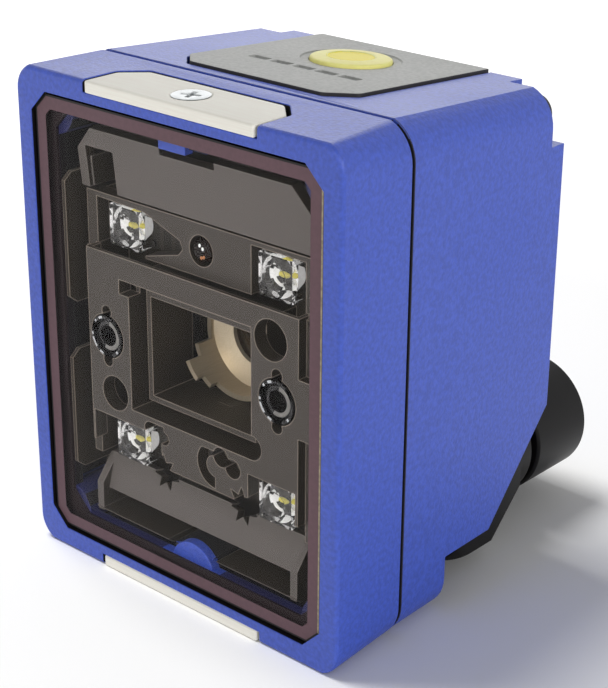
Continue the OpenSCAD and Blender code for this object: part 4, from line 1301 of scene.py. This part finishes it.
@dataclass
class Lamp:
    """Lamp with a bevelled package, a die under resin, a clear square optic and glowing painted highlight
    arcs.
    """

    corner: float = 0.25 * MM
    well: float = 0.42 * MM
    well_depth: float = 0.22 * MM
    die: float = 0.8 * MM
    die_squash: float = 0.45
    die_faces: tuple[int, int] = (24, 12)
    highlight_x: float = 0.3 * MM
    bowl_depth: float = 1.75 * MM
    bowl_lean: tuple[float, float] = (0.2, 0.8)
    # Painted highlight arcs: lift in front of the package, width, faces; each arc as radius, start and sweep
    arc_lift: float = 0.5 * MM
    arc_width: float = 0.3 * MM
    arc_sides: int = 10
    arc_steps: int = 18
    arc_shade: float = 60.0
    highlight_arcs: tuple[tuple[float, float, float], ...] = (
        (1.25 * MM, -70.0, 160.0), (0.8 * MM, 200.0, 90.0), (1.75 * MM, 205.0, 45.0)
    )
    optic_edge: Softening = Softening(width=0.1 * MM, segments=3, angle=28, shade_angle=50, clamp=True)

    def package(self, number: int) -> bpy.types.Object:
        """Models one lamp's package around its solid.

        Args:
            number: Number of the lamp.

        Returns:
            The package with its die and its painted highlight arcs.
        """
        low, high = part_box(f"lamp_{number}")
        body = start_block(f"lamp_package_{number}", low, high)
        with Shaping(body) as shaping:
            shaping.edges(lambda a, b: abs(a.y - b.y) > (high.y - low.y) / 2)
            bpy.ops.mesh.bevel(offset=self.corner, segments=2, affect="EDGES")
            inset_front(shaping, low.y, self.well, self.well_depth)
        body.data.materials.append(Finishes.PACKAGE.material())
        middle = (low + high) / 2
        segments, rings = self.die_faces
        deselect_all()
        bpy.ops.mesh.primitive_uv_sphere_add(
            segments=segments, ring_count=rings, radius=self.die, scale=(1, self.die_squash, 1),
            location=(middle.x, low.y + self.well_depth, middle.z), rotation=(math.pi / 2, 0, 0),
        )
        die = named("die")
        die.data.materials.append(Finishes.PHOSPHOR.material())
        bpy.ops.object.shade_smooth()
        front = Vector((middle.x, low.y - self.arc_lift, middle.z))
        return join(body, die, *(self.highlight_arc(front, *bow) for bow in self.highlight_arcs))

    def highlight_arc(self, centre: Vector, radius: float, start: float, sweep: float) -> bpy.types.Object:
        """Models one glowing painted highlight arc around the die.

        Args:
            centre: Centre of the arc.
            radius: Its radius.
            start: Angle at which it starts, in degrees from the right.
            sweep: Angle through which it runs.

        Returns:
            The arc.
        """
        deselect_all()
        bpy.ops.mesh.primitive_circle_add(
            vertices=self.arc_sides, radius=self.arc_width, fill_type="NGON",
            location=centre + Vector((radius, 0, 0)),
        )
        bow = named("highlight_arc")
        with Shaping(bow) as shaping:
            shaping.everything()
            bpy.ops.mesh.spin(
                steps=self.arc_steps, angle=math.radians(sweep), center=centre, axis=(0, -1, 0)
            )
            shaping.everything()
            bpy.ops.transform.rotate(
                value=math.radians(start), orient_axis="Y", center_override=centre, orient_type="GLOBAL"
            )
            bpy.ops.mesh.remove_doubles(threshold=MERGED)
            bpy.ops.mesh.normals_make_consistent(inside=False)
        smooth(bow, self.arc_shade)
        bow.data.materials.append(Finishes.HIGHLIGHT_GLOW.material())
        return bow

    def build(self, shop: Workshop, count: int) -> None:
        """Builds all lamps, the first one modelled and the others copied.

        Args:
            shop: Where the pieces go.
            count: Number of lamps.
        """
        first = self.package(1)
        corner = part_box("lamp_1")[0]
        for k in range(1, count + 1):
            name = f"lamp_package_{k}"
            piece = first if k == 1 else copy_to(first, name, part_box(f"lamp_{k}")[0] - corner)
            shop.adopt(piece, Body.HOUSING, None, [f"lamp_{k}"])
            optic = shop.soften(f"lamp_lens_{k}", Body.HOUSING, Finishes.OPTIC, self.optic_edge)
            self.paint_bowl_highlight(optic, f"lamp_lens_{k}")

    def paint_bowl_highlight(self, optic: bpy.types.Object, node: str) -> None:
        """Paints a glowing highlight onto part of an optic's bowl.

        Args:
            optic: The clear optic.
            node: Solid that it stands for.
        """
        low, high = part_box(node)
        middle = (low + high) / 2
        front, (steep, flat) = high.y - self.bowl_depth, self.bowl_lean
        paint(
            optic, (Finishes.HIGHLIGHT_GLOW,),
            lambda spot, normal: (
                spot.y > front and steep < normal.y < flat and (spot - middle).x > self.highlight_x
            ),
        )


class RingTone(IntEnum):
    """Finish of a place on an aimer, as its place in the aimer's list."""

    GLOSS = 0
    WORN = 1
    GREY = 2


@dataclass
class Aimer:
    """Round aimer: an outer ring with notches, a groove, an inner ring and a deep bore."""

    radius: float = 2.45 * MM
    ring: float = 0.36 * MM
    groove: float = 0.34 * MM
    inner: float = 0.5 * MM
    groove_depth: float = 0.9 * MM
    inner_rise: float = 0.55 * MM
    bore_depth: float = 1.6 * MM
    notch_depth: float = 0.7 * MM
    edge: float = 0.05 * MM
    edge_angle: float = 35.0
    rim_share: float = 0.6
    rim_depth: float = 0.2 * MM
    grey_depth: float = 0.6 * MM
    grey_gap: tuple[float, float] = (80.0, 250.0)
    notch_angles: tuple[float, ...] = (35.0, 155.0, 275.0)
    notch_spread: float = 16.0
    # Painted glints on the rim, in bright steel: angle and half-width in degrees
    glints: tuple[tuple[float, float], ...] = (
        (112.0, 6.0), (150.0, 12.0), (184.0, 6.0), (212.0, 15.0), (250.0, 7.0), (276.0, 5.0), (318.0, 6.0)
    )

    def body(self, name: str, front: Vector, length: float) -> bpy.types.Object:
        """Models one aimer.

        Args:
            name: Name of the piece.
            front: Centre of its front end.
            length: Length back to its seat.

        Returns:
            The aimer.
        """
        rod = start_rod(name, front, self.radius, length)
        with Shaping(rod) as shaping:
            floor = front.y + self.groove_depth
            inset_front(shaping, front.y, self.ring, self.groove_depth)
            inset_front(shaping, floor, self.groove, -self.inner_rise)
            inset_front(shaping, floor - self.inner_rise, self.inner, self.bore_depth)
            shaping.faces(lambda centre, normal: self._in_notch(centre - front, normal))
            bpy.ops.mesh.extrude_region_move(TRANSFORM_OT_translate={"value": (0, self.notch_depth, 0)})
        apply_modifier(
            rod, "BEVEL", width=self.edge, segments=2, limit_method="ANGLE",
            angle_limit=math.radians(self.edge_angle), use_clamp_overlap=True,
        )
        smooth(rod)
        finishes = (Finishes.GLOSS, Finishes.STEEL, Finishes.GREY_RING)
        paint(rod, finishes, lambda spot, _: self._tone(spot - front))
        return rod

    def _tone(self, spot: Vector) -> RingTone:
        """Tells the finish of a place on the aimer.

        Args:
            spot: The place, from the centre of the front end.

        Returns:
            Gloss black, a painted glint on the rim, or the grey of the inner ring.
        """
        turn = math.degrees(math.atan2(spot.z, spot.x)) % 360
        reach = spot.xz.length
        if reach > self.radius - self.rim_share * self.ring and spot.y < self.rim_depth:
            glinting = any(abs(turn - at) < spread for at, spread in self.glints)
            return RingTone.WORN if glinting else RingTone.GLOSS
        edge, (start, end) = self.radius - self.ring - self.groove, self.grey_gap
        on_ring = edge - self.inner < reach < edge and spot.y < self.grey_depth
        return RingTone.GREY if on_ring and not start <= turn <= end else RingTone.GLOSS

    def _in_notch(self, spot: Vector, normal: Vector) -> bool:
        """Tells whether a face of the outer ring lies in one of the notches.

        Args:
            spot: The face's centre, from the centre of the front end.
            normal: The face's normal.

        Returns:
            Whether it does.
        """
        if normal.y > -SQUARE or abs(spot.y) > NEAR:
            return False
        turn = math.degrees(math.atan2(spot.z, spot.x))
        return any(abs((turn - at + 180) % 360 - 180) < self.notch_spread for at in self.notch_angles)

    def build(self, shop: Workshop) -> None:
        """Builds the left aimer and copies it to the right.

        Args:
            shop: Where the pieces go.
        """
        boxes = {side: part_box(f"aimer_{side}") for side in ("left", "right")}
        low, high = boxes["left"]
        front = Vector(((low.x + high.x) / 2, low.y, (low.z + high.z) / 2))
        left = self.body("aimer_ring_left", front, high.y - low.y)
        right = copy_to(left, "aimer_ring_right", boxes["right"][0] - low)
        for side, piece in (("left", left), ("right", right)):
            shop.adopt(piece, Body.HOUSING, None, [f"aimer_{side}"])


@dataclass
class TargetSensor:
    """Small domed sensor with painted white and amber glints on its skin."""

    dome: float = 1.1 * MM
    dome_share: float = 0.92
    dome_steps: int = 8
    glint_dot: float = 0.17 * MM
    glint_shape: tuple[float, float, float] = (1.0, 0.5, 1.3)
    glint_crown: float = 0.8
    glint_rim: float = 0.2
    # Painted highlights on the dome: white ones and amber ones, each right of and above the tip
    bright: tuple[tuple[float, float], ...] = ((0.05 * MM, 0.7 * MM), (0.5 * MM, 0.42 * MM))
    amber_glints: tuple[tuple[float, float], ...] = ((0.3 * MM, -0.62 * MM), (0.62 * MM, -0.5 * MM))

    def build(self, shop: Workshop) -> None:
        """Builds the dome and its painted glints.

        Args:
            shop: Where the pieces go.
        """
        low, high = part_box("target_sensor")
        middle = (low + high) / 2
        front, radius = Vector((middle.x, low.y, middle.z)), (high.x - low.x) / 2
        dome = start_rod("target_dome", front, radius, high.y - low.y)
        with Shaping(dome) as shaping:
            shaping.edges(lambda a, b: max(abs(a.y - low.y), abs(b.y - low.y)) < NEAR)
            offset = min(self.dome, radius * self.dome_share)
            bpy.ops.mesh.bevel(offset=offset, segments=self.dome_steps, affect="EDGES")
        smooth(dome)
        dome.data.materials.append(Finishes.AMBER.material())
        for finish, places in ((Finishes.HIGHLIGHT_GLOW, self.bright), (Finishes.AMBER_GLINT, self.amber_glints)):
            for x, z in places:
                dome = join(dome, self.painted_glint(front, x, z, radius, finish))
        shop.adopt(dome, Body.HOUSING, None, ["target_sensor"])

    def painted_glint(self, front: Vector, x: float, z: float, radius: float, finish: Finish) -> bpy.types.Object:
        """Models one painted glint on the dome.

        Args:
            front: Tip of the dome.
            x: Place to the right of the tip.
            z: Place above the tip.
            radius: Radius of the dome.
            finish: Finish of the glint.

        Returns:
            The glint.
        """
        outside = max(math.hypot(x, z) - radius + self.dome, 0)
        sag = self.dome - math.sqrt(max(self.dome ** 2 - outside ** 2, 0))
        deselect_all()
        bpy.ops.mesh.primitive_ico_sphere_add(
            subdivisions=2, radius=self.glint_dot, location=front + Vector((x, sag, z)),
            scale=self.glint_shape,
        )
        painted_glint = named("glint_dot")
        with Shaping(painted_glint) as shaping:
            shaping.faces(lambda centre, normal: normal.y < -self.glint_crown)
            bpy.ops.mesh.inset(thickness=self.glint_rim * self.glint_dot, depth=0)
        bpy.ops.object.shade_smooth()
        painted_glint.data.materials.append(finish.material())
        return painted_glint


@dataclass
class LightUnit:
    """Chassis behind the window, with its shades, lamps, aimers and target sensor."""

    lamps: int = 4
    edge: Softening = Softening(width=0.08 * MM)
    lamp: Lamp = field(default_factory=Lamp)
    aimer: Aimer = field(default_factory=Aimer)
    sensor: TargetSensor = field(default_factory=TargetSensor)

    def build(self, shop: Workshop) -> None:
        """Builds the chassis, its lamps and its aimers.

        Args:
            shop: Where the pieces go.
        """
        shop.dress("light_chassis", Finishes.SHADED_TAUPE)
        for node in ("upper_shade", "lower_shade"):
            shop.soften(node, Body.HOUSING, Finishes.LIT_TAUPE, self.edge)
        for node in ("upper_lamp_board", "lower_lamp_board"):
            shop.dress(node, Finishes.LAMP_BOARD)
        self.lamp.build(shop, self.lamps)
        self.aimer.build(shop)
        self.sensor.build(shop)


@dataclass
class Camera:
    """Lens barrel, front lens and the boards behind them."""

    def build(self, shop: Workshop) -> None:
        """Dresses the camera and the boards.

        Args:
            shop: Where the pieces go.
        """
        shop.dress("lens_barrel", Finishes.BRONZE)
        shop.dress("front_lens", Finishes.LENS)
        shop.dress("camera_holder", Finishes.BLACK)
        for node in ("image_sensor", "sensor_board", "main_board", "processor"):
            shop.dress(node, Finishes.BOARD)
        shop.dress("heat_pad", Finishes.RUBBER)


@dataclass
class Connectors:
    """Turning connector block with its two round connectors."""

    screws: int = 2
    edge: Softening = Softening(width=0.2 * MM, segments=3, clamp=True)
    shell_edge: Softening = Softening(width=0.1 * MM)

    def build(self, shop: Workshop) -> None:
        """Builds block and shells and dresses inserts, pins and screws.

        Args:
            shop: Where the pieces go.
        """
        shop.soften("connector_block", Body.TURRET, Finishes.BLACK, self.edge)
        for kind in ("power", "network"):
            shop.soften(f"{kind}_shell", Body.TURRET, Finishes.SHELL, self.shell_edge)
            shop.dress(f"{kind}_insert", Finishes.BLACK)
        shop.dress("power_pins", Finishes.GOLD)
        shop.dress("network_contacts", Finishes.GOLD)
        shop.dress("swivel_clip", Finishes.STEEL)
        shop.dress("swivel_seal", Finishes.RUBBER)
        for k in range(1, self.screws + 1):
            shop.soften(f"block_screw_{k}", Body.TURRET, Finishes.STEEL)


class Lit(Enum):
    """What a lamp lights: everything but the floor, or the floor alone."""

    READER = "EXCLUDE"
    FLOOR = "INCLUDE"


@dataclass(frozen=True)
class Softbox:
    """One soft lamp of the studio."""

    name: str
    place: tuple[float, float, float]
    aim: tuple[float, float, float]
    size: float
    power: float
    lit: Lit = Lit.READER

    def build(self, floor: bpy.types.Object) -> None:
        """Adds the lamp, turned to what it lights.

        Args:
            floor: The floor, which the lamp lights alone or leaves out.
        """
        light = bpy.data.lights.new(self.name, "AREA")
        light.shape, light.size, light.energy = "DISK", self.size, self.power
        obj = bpy.data.objects.new(self.name, light)
        bpy.context.scene.collection.objects.link(obj)
        obj.location = self.place
        obj.rotation_euler = (Vector(self.aim) - Vector(self.place)).to_track_quat("-Z", "Y").to_euler()
        group = bpy.data.collections.new(self.name)
        group.objects.link(floor)
        group.collection_objects[0].light_linking.link_state = self.lit.value
        obj.light_linking.receiver_collection = group


@dataclass
class Studio:
    """Floor, sky, lamps and the camera of the photograph."""

    focal_px: float = 1759.8
    sensor: float = 36.0
    eye: tuple[float, float, float] = (0.125531, -0.145669, 0.10582)
    right: tuple[float, float, float] = (0.74398, 0.66817, 0.00627)
    down: tuple[float, float, float] = (0.26697, -0.28864, -0.91947)
    clip: tuple[float, float] = (0.005, 50.0)
    floor_side: float = 8.0
    floor_tone: Colour = (0.93, 0.93, 0.93, 1.0)
    floor_roughness: float = 0.9
    floor_gloss: float = 0.1
    floor_reach: tuple[float, float] = (0.09, 0.7)
    floor_lift: tuple[float, float] = (0.06, 0.95)
    sky_light: float = 0.3
    boxes: tuple[Softbox, ...] = (
        Softbox("Floor box", (-0.24, -0.08, 0.62), (0.0, 0.0, 0.0), 0.30, 3.7, Lit.FLOOR),
        Softbox("Front box", (0.15, -0.62, 0.32), (0.0, 0.0, 0.03), 0.40, 1.0),
        Softbox("Side box", (0.60, -0.02, 0.28), (0.0, 0.0, 0.03), 0.36, 1.45),
        Softbox("Back box", (-0.49, 0.55, 0.31), (0.0, 0.0, 0.05), 0.50, 1.05),
    )

    def build(self) -> None:
        """Builds the whole studio."""
        scene = bpy.context.scene
        scene.view_settings.view_transform = "Standard"
        self._sky(scene)
        floor = self._floor()
        for box in self.boxes:
            box.build(floor)
        self._camera(scene)

    def _sky(self, scene: bpy.types.Scene) -> None:
        """Lights the scene evenly and shows white to the camera and in reflections.

        Args:
            scene: Scene that gets the sky.
        """
        world = bpy.data.worlds.new("Studio sky")
        scene.world = world
        world.use_nodes = True
        sheet = Sheet(world.node_tree)
        shown = world.node_tree.nodes["Background"]
        shown.inputs["Color"].default_value = WHITE
        level = sheet.mapped(self._looked_at(sheet), (0.0, 1.0), (self.sky_light, 1.0))
        sheet.wire(level, shown.inputs["Strength"])

    @staticmethod
    def _looked_at(sheet: Sheet) -> bpy.types.NodeSocket:
        """Gives 1 for what the camera sees itself, in gloss or through glass, and 0 for other light.

        Args:
            sheet: Tree of the material or of the sky.

        Returns:
            The mask's socket.
        """
        path = sheet.add("LightPath")
        seen = sheet.math("MAXIMUM", path.outputs["Is Camera Ray"], path.outputs["Is Glossy Ray"])
        return sheet.math("MAXIMUM", seen, path.outputs["Is Transmission Ray"])

    def _floor(self) -> bpy.types.Object:
        """Adds the pale floor, whose tone is lifted to white where the camera looks.

        Returns:
            The floor.
        """
        deselect_all()
        bpy.ops.mesh.primitive_plane_add(size=self.floor_side)
        floor = bpy.context.object
        floor.name = "Studio_floor"
        material = bpy.data.materials.new("Pale floor")
        material.use_nodes = True
        sheet = Sheet(material.node_tree)
        shader = material.node_tree.nodes["Principled BSDF"]
        shader.inputs["Base Color"].default_value = self.floor_tone
        shader.inputs["Roughness"].default_value = self.floor_roughness
        shader.inputs["Specular IOR Level"].default_value = self.floor_gloss
        shader.inputs["Emission Color"].default_value = WHITE
        away = sheet.add("VectorMath", operation="LENGTH")
        sheet.wire(Finish.place(sheet), away.inputs[0])
        far = sheet.mapped(away.outputs["Value"], self.floor_reach, self.floor_lift)
        lift = sheet.math("MULTIPLY", far, self._looked_at(sheet))
        sheet.wire(lift, shader.inputs["Emission Strength"])
        floor.data.materials.append(material)
        return floor

    def _camera(self, scene: bpy.types.Scene) -> None:
        """Sets up the photograph's view.

        Args:
            scene: Scene that gets the camera.
        """
        data = bpy.data.cameras.new("Photo view")
        data.sensor_width = self.sensor
        data.lens = self.focal_px * self.sensor / max(PICTURE)
        data.clip_start, data.clip_end = self.clip
        camera = bpy.data.objects.new("Photo view", data)
        scene.collection.objects.link(camera)
        right, up = Vector(self.right), -Vector(self.down)
        back = right.cross(up)
        turn = Matrix((right, up, back)).transposed().to_4x4()
        camera.matrix_world = Matrix.Translation(Vector(self.eye)) @ turn
        scene.camera = camera


def main() -> None:
    """Loads the frame, builds every sub-assembly and sets the scene."""
    logging.basicConfig(level=logging.INFO, format="%(name)s: %(message)s")
    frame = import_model()
    deselect_all()
    Studio().build()
    shop = Workshop(frame)
    for assembly in (Housing(), Trim(), TopPanel(), FrontWindow(), LightUnit(), Camera(), Connectors()):
        assembly.build(shop)
    LOG.info("%d pieces", len(shop.made))


if __name__ == "__main__":
    main()
